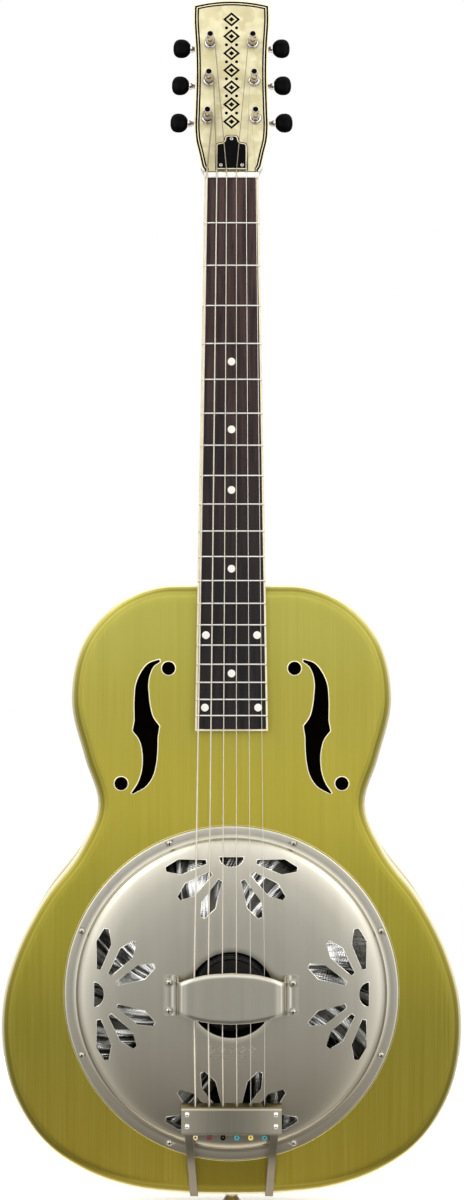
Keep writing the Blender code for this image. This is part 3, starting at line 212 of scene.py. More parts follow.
BUTTON_PROFILE = [  # (radius, height) of the end button, from the top of its peg down
    (0.0000, 0.0340), (0.0024, 0.0335), (0.0030, 0.0300), (0.0030, 0.0119), (0.0068, 0.0119),
    (0.0072, 0.0112), (0.0068, 0.0101), (0.0053, 0.0085), (0.0048, 0.0072), (0.0050, 0.0055),
    (0.0060, 0.0037), (0.0073, 0.0024), (0.0075, 0.0015), (0.0071, 0.0004), (0.0062, 0.0000),
    (0.0000, 0.0000),
]

# Neck and fingerboard
SCALE_LENGTH = 0.6305
FRET_COUNT = 19
NECK_TILT = radians(2.2)
NUT_HEIGHT = 0.8095
BOARD_ABOVE_BODY = 0.0075
BOARD_LENGTH = 0.4322
BOARD_THICKNESS = 0.006
BOARD_RADIUS = 0.36
HALF_WIDTH_AT_NUT = 0.02125
HALF_WIDTH_AT_BOARD_END = 0.0285
BINDING_WIDTH = 0.0016
BINDING_SECTION = [  # (share of the width inwards, height)
    (0, -BOARD_THICKNESS), (0, -0.0004), (0.2, 0.0001), (0.8, 0.0003), (1, 0.0003),
    (1, -BOARD_THICKNESS),
]
FRET_WIDTH = 0.0015
FRET_HEIGHT = 0.0012
NUT_THICKNESS = 0.0049
NUT_RISE = 0.0014
NUT_CROWN = [(1, 0.0012), (0.82, 0.0003), (0.55, 0.0), (0.1, 0.0), (0, 0.0002)]  # (share up the neck, drop)
DOT_SECTION = [(0.003, -0.001), (0.003, 0.00004), (0.0027, 0.00008), (0.0001, 0.00009)]  # (radius, height)
SINGLE_DOTS = [5, 7, 9, 12, 17]
DOUBLE_DOTS = [(15, 0.0199), (19, 0.0207)]  # (fret, distance of each from the middle)
NECK_SECTIONS = [  # (local height, share of the board's width, depth of the back below the board's front)
    (0.018, 0.99, 0.0205), (0.000, 1.00, 0.0210), (-0.090, 1.00, 0.0216), (-0.200, 1.00, 0.0230),
    (-0.262, 1.00, 0.0245), (-0.285, 1.00, 0.0285), (-0.300, 0.99, 0.0375), (-0.309, 0.96, 0.0500),
    (-0.314, 0.93, 0.0600), (-0.321, 0.91, 0.0630),
]
NECK_TONGUE = [(-0.3214, 0.99, 0.0160), (-0.4319, 1.00, 0.0160)]
NECK_POWER = 0.85
NECK_STEPS = 28
ROD_LENGTH = 0.300
ROD_HALF_WIDTH = 0.0028
ROD_HALF_DEPTH = 0.004
ROD_DEPTH = 0.0108

# Head
HEAD_TILT = radians(15)
HEAD_DROP = 0.001
VENEER = 0.0015
HEAD_THICKNESS = 0.015
HEAD_FOOT = 0.0008
HEAD_WOOD_FOOT = 0.0200  # half width of the wood where its foot is shaved back behind the edging
HALF_HEAD = [  # (half width, height) of the head, from the nut up
    (0.0216, 0.0008), (0.0232, 0.0030), (0.0248, 0.0090), (0.0264, 0.0165), (0.0286, 0.0260),
    (0.0295, 0.0370), (0.0292, 0.0520), (0.0286, 0.0800), (0.0290, 0.1040), (0.0304, 0.1310),
    (0.0302, 0.1425),
]
HEAD_TOP = 0.1467
HEAD_ARC_STEPS = 13
EDGING = [  # (near, far, look): distances in from the outline of each layer
    (0.0, 0.0011, "cream"), (0.0011, 0.0026, "black"), (0.0026, 0.0032, "cream"), (0.0032, 0.0045, "black"),
]
ROD_COVER_OUTLINE = [  # right half, from the bottom middle up
    (0.0127, 0.0011), (0.0127, 0.0215), (0.0120, 0.0234), (0.0103, 0.0244), (0.0072, 0.0250),
    (0.0061, 0.0262), (0.0058, 0.0280), (0.0049, 0.0299), (0.0028, 0.0309),
]
ROD_COVER_PLIES = [  # (distance in from the outline, bottom, top, look)
    (0.0, 0.0003, 0.0009, "black"), (0.0008, 0.0009, 0.0013, "cream"), (0.0017, 0.0013, 0.0019, "black"),
]
ROD_COVER_SCREW = (0.0015, 0.0009)
ROD_COVER_SCREWS = [(0.0, 0.0271), (-0.0083, 0.0050), (0.0083, 0.0050)]
POCKET_HALF_WIDTH = 0.0052
POCKET_RANGE = (0.006, 0.0215)
POCKET_DEPTH = 0.0118
ORNAMENT_COUNT = 7
ORNAMENT_START = 0.0425
ORNAMENT_PITCH = 0.0146
ORNAMENT_SIZE = (0.0068, 0.0062)  # half width and half height of each lozenge
ORNAMENT_BOTTOM = -0.0003
ORNAMENT_TOP = 0.00006

# Tuners
POST_ROW_X = 0.0178
POST_ROW_HEIGHT = 0.0773
POST_ROW_LEAN = radians(1.8)
POST_SPACING = 0.03215
POST_RADIUS = 0.0028
POST_RISE = 0.018
POST_SIDES = 72
POST_PROFILE = [  # (radius, height) above the gear, waisted where the string winds
    (0.0028, 0.0040), (0.0026, 0.0055), (0.0024, 0.0080), (0.0026, 0.0105), (0.0028, 0.0120),
    (0.0028, 0.0172), (0.0027, 0.0178), (0.0025, 0.0180),
]
SOCKET_RADIUS = 0.0022
SOCKET_DEPTH = 0.0012
BUSHING_SLEEVE_RADIUS = 0.0044
BUSHING_PROFILE = [  # (radius, height) round the post
    (0.0031, 0.0016), (0.0033, 0.0021), (0.0038, 0.0022), (0.0043, 0.0019), (0.0048, 0.0010),
    (0.0051, 0.0006), (0.0051, 0.0003), (0.0044, 0.0003), (0.0044, -0.0080), (0.0031, -0.0080),
]
TUNER_PLATE_SHEET = 0.0012
TUNER_PLATE_SCREW = (0.0017, 0.0010)
TUNER_PLATE_SCREW_X = 0.0073
TUNER_PLATE_SCREW_ROWS = [-0.0475, -0.0120, 0.0200, 0.0475]
SHAFT_DEPTH = 0.0245
SHAFT_OFFSET = 0.006
SHAFT_RADIUS = 0.0013
SHAFT_SIDES = 24
GEAR_TEETH = 18
GEAR_PITCH_RADIUS = 0.004
GEAR_TIP_RADIUS = 0.00440
GEAR_ROOT_RADIUS = 0.00345
GEAR_HALF_WIDTH = 0.0018
WORM_CREST_RADIUS = 0.00212
WORM_HALF_LENGTH = 0.0028
WORM_PITCH = 2 * pi * GEAR_PITCH_RADIUS / GEAR_TEETH
WORM_ROWS_PER_TURN = 12
WORM_CREST_EDGE = 0.12
WORM_ROOT_EDGE = 0.36
SHAFT_PROFILE = [  # (distance out from the post, radius)
    (0.0030, SHAFT_RADIUS), (0.0065, SHAFT_RADIUS), (0.0067, 0.0019), (0.0072, 0.0021),
    (0.0078, 0.0019), (0.0110, 0.0018), (0.0120, 0.0020), (0.0132, 0.0024), (0.0144, 0.0029),
    (0.0154, 0.0030), (0.0160, 0.0029), (0.0161, 0.0011), (0.0225, 0.0011),
]
BUTTON_SHAPE = [  # (distance out, half height, half thickness)
    (0.0163, 0.0014, 0.0014), (0.0163, 0.0032, 0.0028), (0.0167, 0.0040, 0.0030),
    (0.0178, 0.0056, 0.0034), (0.0195, 0.0071, 0.0037), (0.0214, 0.0079, 0.0038),
    (0.0236, 0.0081, 0.0039), (0.0258, 0.0079, 0.0038), (0.0278, 0.0069, 0.0034),
    (0.0292, 0.0052, 0.0027), (0.0300, 0.0026, 0.0014), (0.0301, 0.0004, 0.0003),
]

# Strings, from the low one on the left to the high one on the right
STRING_RADII = [0.00066, 0.00053, 0.00041, 0.00031, 0.00022, 0.00018]
WOUND_STRINGS = 4
STRING_HALF_SPREAD_AT_NUT = 0.0192
STRING_HALF_SPREAD_AT_SADDLE = 0.0273
STRING_HALF_SPREAD_AT_TAIL = 0.0269
STRING_SHIFT_AT_SADDLE = -0.0017
STRING_SHIFT_AT_TAIL = -0.0012
STRING_RISE_AT_NUT = 0.0017
STRING_RISE_AT_SADDLE = 0.0059
SADDLE_DISTANCE = 0.637
BALL_END = (0.0618, 0.0108)  # (height up the body, height in front)
BALL_RADIUS = 0.0020
BALL_BORE = 0.0008
BALL_HALF_LENGTH = 0.0016
BALL_COLOURS = ["brass", "red", "black", "teal", "yellow", "teal"]
LIP_SLOT = (0.0872, 0.0106)  # where the strings leave the tailpiece
STRING_TURNS = 2
TURN_POINTS = 28
FIRST_TURN_RISE = 0.0050
POST_ORDER = [(-1, -1), (-1, 0), (-1, 1), (1, 1), (1, 0), (1, -1)]  # (side, row) of each string's post

# Camera, floor and lights
CAMERA_PLACE = (0.0, -2.2485, 0.5262)
CAMERA_LENS = 84.78
CAMERA_SHIFT = (0.0004, -0.05)
FLOOR_RADIUS = 0.40
FLOOR_CENTRE = (0, 0.31)


# ---------- frames ----------

board_rise = (NUT_HEIGHT - BODY_END) * sin(NECK_TILT) / cos(NECK_TILT)
nut_y = -BODY_DEPTH / 2 - BOARD_ABOVE_BODY + board_rise
WORLD = Matrix.Identity(4)
BODY_FRONT = Matrix.Translation((0, -BODY_DEPTH / 2, 0)) @ Matrix.Rotation(pi / 2, 4, "X")
BODY_REAR = Matrix.Rotation(pi, 4, "Z") @ BODY_FRONT
CENTRE_FRONT = Matrix.Translation((0, 0, CENTRE_HEIGHT)) @ BODY_FRONT
NECK_FRONT = Matrix.Translation((0, nut_y, NUT_HEIGHT)) @ Matrix.Rotation(pi / 2 - NECK_TILT, 4, "X")
HEAD_PLACE = Matrix.Translation((0, NUT_THICKNESS, -HEAD_DROP))
HEAD_FRONT = NECK_FRONT @ HEAD_PLACE @ Matrix.Rotation(NECK_TILT - HEAD_TILT, 4, "X")


def tuner_frame(side):
    place = Matrix.Translation((side * POST_ROW_X, POST_ROW_HEIGHT, 0))
    return HEAD_FRONT @ place @ Matrix.Rotation(side * POST_ROW_LEAN, 4, "Z")


# ---------- shapes ----------


def placed(name, data):
    """A new object of the data, in the scene."""
    made = bpy.data.objects.new(name, data)
    bpy.context.scene.collection.objects.link(made)
    return made


def evaluated(obj):
    """The object's mesh, with its modifiers applied."""
    bpy.context.view_layer.update()
    return bpy.data.meshes.new_from_object(obj.evaluated_get(bpy.context.evaluated_depsgraph_get()))


def mesh_of(build):
    bm = bmesh.new()
    build(bm)
    mesh = bpy.data.meshes.new("shape")
    bm.to_mesh(mesh)
    bm.free()
    return mesh


def joined(meshes):
    """One mesh from several, with the materials of the first."""

    def build(bm):
        for mesh in meshes:
            bm.from_mesh(mesh)

    made = mesh_of(build)
    for look in meshes[0].materials:
        made.materials.append(look)
    return made


def copies(mesh, matrices):
    """One mesh with a copy of the given one at each matrix."""
    made = []
    for matrix in matrices:
        copy = mesh.copy()
        copy.transform(matrix)
        made.append(copy)
    return joined(made)


def at(x, y, z=0.0, turned=0.0):
    return Matrix.Translation((x, y, z)) @ Matrix.Rotation(turned, 4, "Z")


def box(low, high):
    def build(bm):
        made = bmesh.ops.create_cube(bm, size=1)
        bmesh.ops.scale(bm, vec=Vector(high) - Vector(low), verts=made["verts"])
        bmesh.ops.translate(bm, vec=(Vector(high) + Vector(low)) / 2, verts=made["verts"])

    return mesh_of(build)


def cylinder(radius, low, high, sides, centre=(0, 0)):
    def build(bm):
        made = bmesh.ops.create_cone(
            bm, cap_ends=True, segments=sides, radius1=radius, radius2=radius, depth=high - low
        )
        bmesh.ops.translate(bm, vec=(*centre, (low + high) / 2), verts=made["verts"])

    return mesh_of(build)


def loft(rings, closed=True, capped=True, looped=False):
    """A surface through rings of points; looped joins the last ring to the first."""

    def build(bm):
        rows = [[bm.verts.new(point) for point in ring] for ring in rings]
        around = len(rings[0]) if closed else len(rings[0]) - 1
        pairs = list(zip(rows, rows[1:]))
        if looped:
            pairs.append((rows[-1], rows[0]))
        for row, following in pairs:
            for i in range(around):
                j = (i + 1) % len(row)
                bm.faces.new((row[i], row[j], following[j], following[i]))
        if capped and not looped:
            bm.faces.new(rows[0])
            bm.faces.new(rows[-1])
        bmesh.ops.recalc_face_normals(bm, faces=bm.faces)

    return mesh_of(build)


def turned(profile, segments):
    """A closed solid about local Z, from (radius, height) points."""
    rings = []
    for angle in full_turn(segments):
        rings.append([(max(r, 1e-7) * cos(angle), max(r, 1e-7) * sin(angle), z) for r, z in profile])
    on_axis = profile[0][0] == 0
    mesh = loft(rings, closed=not on_axis, capped=False, looped=True)

    def build(bm):
        bm.from_mesh(mesh)
        bmesh.ops.remove_doubles(bm, verts=bm.verts, dist=1e-6)
        bmesh.ops.recalc_face_normals(bm, faces=bm.faces)

    return mesh_of(build)


def slab(outlines, low, high):
    """Filled outlines in the XY plane between two heights, with an outline inside another left open."""
    curve = bpy.data.curves.new("outline", "CURVE")
    curve.dimensions = "2D"
    curve.fill_mode = "BOTH"
    curve.extrude = (high - low) / 2
    for points in outlines:
        spline = curve.splines.new("POLY")
        spline.points.add(len(points) - 1)
        for spot, (x, y) in zip(spline.points, points):
            spot.co = (x, y, 0, 1)
        spline.use_cyclic_u = True
    guide = placed("outline", curve)
    filled = evaluated(guide)
    bpy.data.objects.remove(guide)

    def build(bm):
        bm.from_mesh(filled)
        bmesh.ops.remove_doubles(bm, verts=bm.verts, dist=1e-6)
        bmesh.ops.translate(bm, vec=(0, 0, (low + high) / 2), verts=bm.verts)
        bmesh.ops.recalc_face_normals(bm, faces=bm.faces)
        if bm.calc_volume(signed=True) < 0:
            bmesh.ops.reverse_faces(bm, faces=bm.faces)

    return mesh_of(build)


def tube(points, radius, sides):
    """A round wire through points, whose rings turn with it without twisting."""
    spots = [Vector(point) for point in points]
    rings = []
    across = None
    for i, spot in enumerate(spots):
        along = (spots[min(i + 1, len(spots) - 1)] - spots[max(i - 1, 0)]).normalized()
        if across is None:
            across = along.orthogonal().normalized()
        across = (across - along * across.dot(along)).normalized()
        other = along.cross(across)
        ring = []
        for angle in full_turn(sides):
            ring.append(spot + (across * cos(angle) + other * sin(angle)) * radius)
        rings.append(ring)
    return loft(rings)


def changed(mesh, *steps):
    """The mesh after modifiers of (kind, settings); a mesh among the settings becomes a helper object."""
    holder = placed("holder", mesh)
    helpers = [holder]
    for kind, settings in steps:
        modifier = holder.modifiers.new(kind, kind)
        for key, value in settings.items():
            if isinstance(value, bpy.types.Mesh):
                value = placed("helper", value)
                helpers.append(value)
            setattr(modifier, key, value)
    made = evaluated(holder)
    for helper in helpers:
        bpy.data.objects.remove(helper)
    return made


def cut(cutter):
    return ("BOOLEAN", {"operation": "DIFFERENCE", "solver": "EXACT", "object": cutter})


def add(other):
    return ("BOOLEAN", {"operation": "UNION", "solver": "EXACT", "object": other})


def thicken(thickness, inner_look=0):
    """A sheet from a surface; its inner faces take the material of the given index."""
    sheet = {"thickness": thickness, "offset": -1, "use_even_offset": True, "material_offset": inner_look}
    return ("SOLIDIFY", sheet)


def bevel(width, segments=2):
    settings = {"width": width, "segments": segments, "angle_limit": radians(40), "harden_normals": False}
    return ("BEVEL", settings)


def blend(first, second, share):
    return first + (second - first) * share


def mirrored(half):
    """A closed outline, anticlockwise, from its right half listed from the bottom up."""
    return list(half) + [(-x, y) for x, y in reversed(half) if x > 0]


def smooth(points, step, closed=False):
    """Points about a step apart on the curve through the given ones."""
    spots = [Vector(point) for point in points]
    count = len(spots)
    curve = []
    for i in range(count if closed else count - 1):
        start = spots[i]
        end = spots[(i + 1) % count]
        before = spots[i - 1] if closed or i > 0 else start * 2 - end
        after = spots[(i + 2) % count] if closed or i + 2 < count else end * 2 - start
        lead = (start - before).length
        span = (end - start).length
        tail = (after - end).length
        out = (start - before) / lead - (end - before) / (lead + span) + (end - start) / span
        into = (end - start) / span - (after - start) / (span + tail) + (after - end) / tail
        pieces = max(1, round(span / step))
        for k in range(pieces):
            t = k / pieces
            rest = 1 - t
            place = start * rest * rest * (1 + 2 * t) + end * t * t * (3 - 2 * t)
            curve.append(tuple(place + (out * rest - into * t) * t * rest * span))
    if not closed:
        curve.append(tuple(spots[-1]))
    return curve


def inset(outline, distance, closed=True):
    """The anticlockwise outline moved inwards, with its corners mitred; an open one keeps its ends."""
    last = len(outline) - 1
    made = []
    for i, (x, y) in enumerate(outline):
        here = Vector((x, y))
        ahead = Vector(outline[(i + 1) % len(outline)] if closed else outline[min(i + 1, last)])
        behind = Vector(outline[i - 1] if closed else outline[max(i - 1, 0)])
        along = ((ahead - here).normalized() + (here - behind).normalized()).normalized()
        forward = here - behind if ahead == here else ahead - here
        moved = distance / max(SHARPEST_MITRE, along.dot(forward.normalized()))
        made.append((x - along.y * moved, y + along.x * moved))
    return made


def edge_bead(outline, section):
    """A thin rim along an opening's outline, from a section of (distance outwards, height) points."""
    rings = []
    for distance, height in section:
        rings.append([(x, y, height) for x, y in inset(outline, -distance)])
    return loft(rings, looped=True)


def full_turn(count):
    """Equal angles round a full turn."""
    return [2 * pi * k / count for k in range(count)]


def circle(radius, count, centre=(0, 0)):
    x, y = centre
    return [(x + radius * cos(angle), y + radius * sin(angle)) for angle in full_turn(count)]


def ring_points(radius, count, x, squash=1.0):
    """An oval about local X at the place x along it."""
    return [(x, radius * cos(angle), radius * squash * sin(angle)) for angle in full_turn(count)]


def screw_mesh(radius, height):
    """A domed screw head whose driver slots are coloured dark as painted shade, its underside at height 0.
    """
    profile = [(0, height)]
    for k in range(1, 8):
        angle = pi / 2 * k / 7
        profile.append((radius * sin(angle), height * (0.25 + 0.75 * cos(angle))))
    profile += [(radius, 0), (0, 0)]
    head = turned(profile, 28)
    slot = radius * 0.13
    reach = radius * 0.66
    bars = []
    for x, y in ((reach, slot), (slot, reach)):
        bars.append(box((-x, -y, height * 0.4), (x, y, height * 2)))
    for mesh in (head, *bars):
        mesh.materials.append(looks["nickel_across"])
        mesh.materials.append(looks["inside"])
    # The slots' faces take the dark material as painted shade.
    for bar in bars:
        for face in bar.polygons:
            face.material_index = 1
    return changed(head, *(cut(bar) for bar in bars))


def piece(name, mesh, frame, look, body="guitar", replaces=(), sharp=35):
    """A finished piece, moved from its frame into place; a mesh that has its own materials keeps them."""
    mesh.transform(frame)
    mesh.name = name
    if not mesh.materials:
        mesh.materials.append(looks[look])
    mesh.shade_smooth()
    mesh.set_sharp_from_angle(angle=radians(sharp))
    made = placed(name, mesh)
    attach(made, body)
    if replaces:
        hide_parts(*replaces)
    return made


# ---------- materials ----------


def node(tree, kind, inputs=None, **settings):
    """A shader node, with each input set to a number or colour, or linked to an output."""
    made = tree.nodes.new(kind)
    for key, value in settings.items():
        setattr(made, key, value)
    for key, value in (inputs or {}).items():
        if isinstance(value, bpy.types.NodeSocket):
            tree.links.new(value, made.inputs[key])
        else:
            made.inputs[key].default_value = value
    return made


def start_material(name, metallic, roughness, coat=0.0, coat_roughness=0.1, specular=0.5):
    made = bpy.data.materials.new(name)
    made.use_nodes = True
    shader = made.node_tree.nodes["Principled BSDF"]
    shader.inputs["Metallic"].default_value = metallic
    shader.inputs["Roughness"].default_value = roughness
    shader.inputs["Coat Weight"].default_value = coat
    shader.inputs["Coat Roughness"].default_value = coat_roughness
    shader.inputs["Specular IOR Level"].default_value = specular
    return made, made.node_tree, shader


def object_noise(tree, stretch, detail=3.0, distortion=0.0):
    """Noise in the piece's own space, with a scale along each axis."""
    place = node(tree, "ShaderNodeTexCoord").outputs["Object"]
    mapped = node(tree, "ShaderNodeMapping", {"Vector": place, "Scale": stretch}).outputs["Vector"]
    inputs = {"Vector": mapped, "Scale": 1.0, "Detail": detail, "Distortion": distortion}
    return node(tree, "ShaderNodeTexNoise", inputs).outputs["Fac"]


def remap(tree, value, low, high, to_low=0.0, to_high=1.0, kind="LINEAR"):
    inputs = {"Value": value, "From Min": low, "From Max": high, "To Min": to_low, "To Max": to_high}
    return node(tree, "ShaderNodeMapRange", inputs, interpolation_type=kind).outputs["Result"]


def ease(tree, value, low, high, to_low=0.0, to_high=1.0):
    """Like remap, with a smooth start and end."""
    return remap(tree, value, low, high, to_low, to_high, "SMOOTHSTEP")


def maths(tree, operation, first, second=0.0):
    return node(tree, "ShaderNodeMath", {0: first, 1: second}, operation=operation).outputs[0]


def mix(tree, share, first, second, how="MIX"):
    """A colour between two; each is a colour or an output."""
    made = node(tree, "ShaderNodeMix", {0: share}, data_type="RGBA", blend_type=how)
    for index, value in ((6, first), (7, second)):
        if isinstance(value, bpy.types.NodeSocket):
            tree.links.new(value, made.inputs[index])
        else:
            made.inputs[index].default_value = (*value, 1)
    return made.outputs[2]


def surface(tree, shader, colour, roughness=None):
    """Gives the shader its colour, and its roughness where that varies."""
    tree.links.new(colour, shader.inputs["Base Color"])
    if roughness:
        tree.links.new(roughness, shader.inputs["Roughness"])


def bump(tree, shader, height, distance, strength=1.0):
    made = node(tree, "ShaderNodeBump", {"Height": height, "Distance": distance, "Strength": strength})
    tree.links.new(made.outputs["Normal"], shader.inputs["Normal"])


def place_axis(tree, axis):
    place = node(tree, "ShaderNodeTexCoord").outputs["Object"]
    return node(tree, "ShaderNodeSeparateXYZ", {0: place}).outputs[axis]


def olive_finish():
    """Olive lacquer over vertically brushed metal, worn through to pale metal along the rolled edges, with
    painted light: lighter up the body, and painted shade on the roll and between the tailpiece legs.
    """
    made, tree, shader = start_material("olive_finish", 0.93, 0.36, coat=0.15, coat_roughness=0.22)
    fine = object_noise(tree, (900, 900, 9), detail=4)
    broad = object_noise(tree, (150, 150, 3), detail=3)
    cloud = object_noise(tree, (9, 9, 5), detail=2)
    height = place_axis(tree, "Z")
    low, *others = OLIVE_AND_PAINTED_LIGHT_BY_HEIGHT
    base = mix(tree, ease(tree, height, low[0], others[0][0]), low[1], others[0][1])
    for (start, _), (end, shade) in zip(others, others[1:]):
        base = mix(tree, ease(tree, height, start, end), base, shade)
    base = mix(tree, remap(tree, broad, 0.3, 0.7, 0.0, 0.14), base, (0.28, 0.24, 0.03))
    base = mix(tree, remap(tree, fine, 0.3, 0.75, 0.0, 0.10), base, (0.75, 0.70, 0.25))
    base = mix(tree, remap(tree, cloud, 0.35, 0.75, 0.0, 0.24), base, (0.33, 0.29, 0.03))
    depth = maths(tree, "ABSOLUTE", place_axis(tree, "Y"))
    # Painted shade on the rolled edge, darkening the bands where the roll would show bright reflections.
    painted_roll_shade = ease(tree, depth, 0.04150, 0.04130, 0.0, 0.44)
    painted_roll_shade = maths(tree, "ADD", painted_roll_shade, ease(tree, depth, 0.0411, 0.04065, 0.0, 0.33))
    painted_roll_shade = maths(tree, "MULTIPLY", painted_roll_shade, ease(tree, depth, 0.0405, 0.0399, 1.0, 0.3))
    base = mix(tree, painted_roll_shade, base, (0.16, 0.135, 0.017))
    # Painted shade with a brown patina on the front between the tailpiece legs, below the plate.
    aside = maths(tree, "ABSOLUTE", place_axis(tree, "X"))
    painted_shade_between_legs = ease(tree, aside, 0.034, 0.026, 0.0, 0.75)
    for limit in (
        ease(tree, height, 0.060, 0.038),
        ease(tree, place_axis(tree, "Y"), -0.036, -0.040),
    ):
        painted_shade_between_legs = maths(tree, "MULTIPLY", painted_shade_between_legs, limit)
    base = mix(tree, painted_shade_between_legs, base, (0.19, 0.145, 0.014))
    ragged = maths(tree, "ADD", depth, remap(tree, broad, 0.3, 0.7, -0.00008, 0.00008))
    outer = ease(tree, ragged, 0.0398, 0.0385)
    inner = ease(tree, ragged, 0.0325, 0.0345)
    worn = maths(tree, "MULTIPLY", outer, inner)
    colour = mix(tree, worn, base, (0.95, 0.86, 0.58))
    surface(tree, shader, colour, remap(tree, fine, 0.2, 0.8, 0.34, 0.42))
    bump(tree, shader, fine, 0.000006)
    return made


def brushed_metal(name, dark, light, roughness, stretch=(900, 900, 10), relief=0.000005, streaks=0.3):
    """Metal with fine brushing along one axis and faint uneven tarnish."""
    made, tree, shader = start_material(name, 1.0, roughness)
    fine = object_noise(tree, stretch, detail=4)
    wide = object_noise(tree, tuple(scale / 5 for scale in stretch), detail=3)
    cloud = object_noise(tree, (22, 22, 16), detail=3)
    middle = tuple((a + b) / 2 for a, b in zip(dark, light))
    colour = mix(tree, remap(tree, wide, 0.3, 0.7, 0.3, 0.7), dark, light)
    colour = mix(tree, remap(tree, fine, 0.3, 0.75, 0.0, streaks), colour, light)
    colour = mix(tree, remap(tree, cloud, 0.4, 0.8, 0.0, 0.6), colour, middle)
    uneven = 0.13 * streaks
    rough = remap(tree, fine, 0.2, 0.8, roughness - uneven, roughness + uneven)
    surface(tree, shader, colour, rough)
    bump(tree, shader, fine, relief)
    return made


def round_metal(name, dark, light, roughness, scale=300):
    """Metal with the same fine grain along every axis."""
    return brushed_metal(name, dark, light, roughness, (scale, scale, scale))


def tinted(material, share, colour):
    """Mixes a colour over the material's own, by a share that varies over the surface."""
    tree = material.node_tree
    shader = tree.nodes["Principled BSDF"]
    base = shader.inputs["Base Color"].links[0].from_socket
    surface(tree, shader, mix(tree, share, base, colour))
    return material


def plate_nickel(name):
    """Satin plating with hardly any relief, as on the cover and the palm rest."""
    return brushed_metal(name, *NICKEL, 0.29, relief=0.0000015, streaks=0.12)


def cover_metal():
    """The cover plate's plating, mixed warmer and a little darker towards the tail."""
    made = plate_nickel("cover_nickel")
    tree = made.node_tree
    low = ease(tree, place_axis(tree, "Z"), 0.19, 0.06, 0.0, 0.85)
    return tinted(made, low, (0.52, 0.46, 0.345))


def tail_plate_metal():
    """The tailpiece's plating, a darker copy of the nickel as painted shade, and darker and browner still
    where the upper lip bends down, as painted shade.
    """
    # A darker copy of the nickel plating, as painted shade low on the body.
    made = brushed_metal("tail_plate_nickel", (0.265, 0.245, 0.185), (0.335, 0.310, 0.245), 0.32)
    tree = made.node_tree
    # Painted shade where the upper lip bends down.
    lip = ease(tree, place_axis(tree, "Z"), 0.0842, 0.0852)
    return tinted(made, lip, (0.16, 0.13, 0.07))


def spun_aluminium():
    """Bright spun metal with the lathe's fine rings and creases that run outwards, with painted reflections
    light and dark along the creases and painted shadow darkening the crown.
    """
    made, tree, shader = start_material("spun_aluminium", 1.0, 0.09)
    place = node(tree, "ShaderNodeTexCoord").outputs["Object"]
    middle = (0, 0, CENTRE_HEIGHT)
    centred = node(tree, "ShaderNodeVectorMath", {0: place, 1: middle}, operation="SUBTRACT").outputs[0]
    flat = node(tree, "ShaderNodeVectorMath", {0: centred, 1: (1, 0, 1)}, operation="MULTIPLY").outputs[0]
    radius = node(tree, "ShaderNodeVectorMath", {0: flat}, operation="LENGTH").outputs["Value"]
    groove = maths(tree, "SINE", maths(tree, "MULTIPLY", radius, 5200))
    parts = node(tree, "ShaderNodeSeparateXYZ", {0: flat}).outputs
    angle = maths(tree, "ARCTAN2", parts["Z"], parts["X"])
    turn = maths(tree, "ADD", maths(tree, "MULTIPLY", angle, 13.0), maths(tree, "MULTIPLY", radius, 60.0))
    outward = maths(tree, "MULTIPLY", radius, 16.0)
    polar = node(tree, "ShaderNodeCombineXYZ", {0: turn, 1: outward}).outputs[0]
    inputs = {"Vector": polar, "Scale": 1.0, "Detail": 4.0, "Distortion": 0.4}
    crease = node(tree, "ShaderNodeTexNoise", inputs).outputs["Fac"]
    height = maths(tree, "ADD", maths(tree, "MULTIPLY", groove, 0.02), crease)
    # Painted reflections: the colour runs from dark to light along the creases.
    shade = mix(tree, remap(tree, crease, 0.46, 0.55), (0.09, 0.085, 0.075), (1.0, 1.0, 0.98))
    # Painted shadow darkening the crown round the middle.
    shade = mix(tree, remap(tree, radius, 0.042, 0.038), shade, (0.02, 0.02, 0.02))
    surface(tree, shader, shade)
    bump(tree, shader, height, 0.0014)
    return made


def wood(name, dark, light, roughness, coat, specular=0.5):
    """Straight-grained wood under a finish, with pores along the grain."""
    made, tree, shader = start_material(name, 0.0, roughness, coat, 0.12, specular)
    rings = object_noise(tree, (105, 105, 2.25), detail=4, distortion=0.6)
    pores = object_noise(tree, (1260, 1260, 27), detail=2)
    colour = mix(tree, remap(tree, rings, 0.35, 0.68), dark, light)
    colour = mix(tree, remap(tree, pores, 0.58, 0.72, 0.0, 0.55), colour, tuple(c * 0.4 for c in dark))
    surface(tree, shader, colour, remap(tree, rings, 0.2, 0.8, roughness - 0.05, roughness + 0.08))
    bump(tree, shader, pores, 0.00004, 0.5)
    return made


def board_wood():
    """Dark fingerboard wood, redder towards the nut, with streaks and pores along it."""
    made, tree, shader = start_material("fingerboard_wood", 0.0, 0.42, specular=0.18)
    streaks = object_noise(tree, (260, 260, 7), detail=4, distortion=0.4)
    pores = object_noise(tree, (1400, 1400, 55), detail=2)
    high = ease(tree, place_axis(tree, "Z"), 0.42, 0.80)
    dark = mix(tree, high, (0.006, 0.005, 0.006), (0.024, 0.012, 0.011))
    light = mix(tree, high, (0.020, 0.014, 0.014), (0.072, 0.038, 0.033))
    colour = mix(tree, remap(tree, streaks, 0.36, 0.66), dark, light)
    colour = mix(tree, remap(tree, pores, 0.58, 0.70, 0.0, 0.7), colour, (0.004, 0.003, 0.003))
    surface(tree, shader, colour, remap(tree, streaks, 0.2, 0.8, 0.34, 0.50))
    bump(tree, shader, pores, 0.00005, 0.5)
    return made


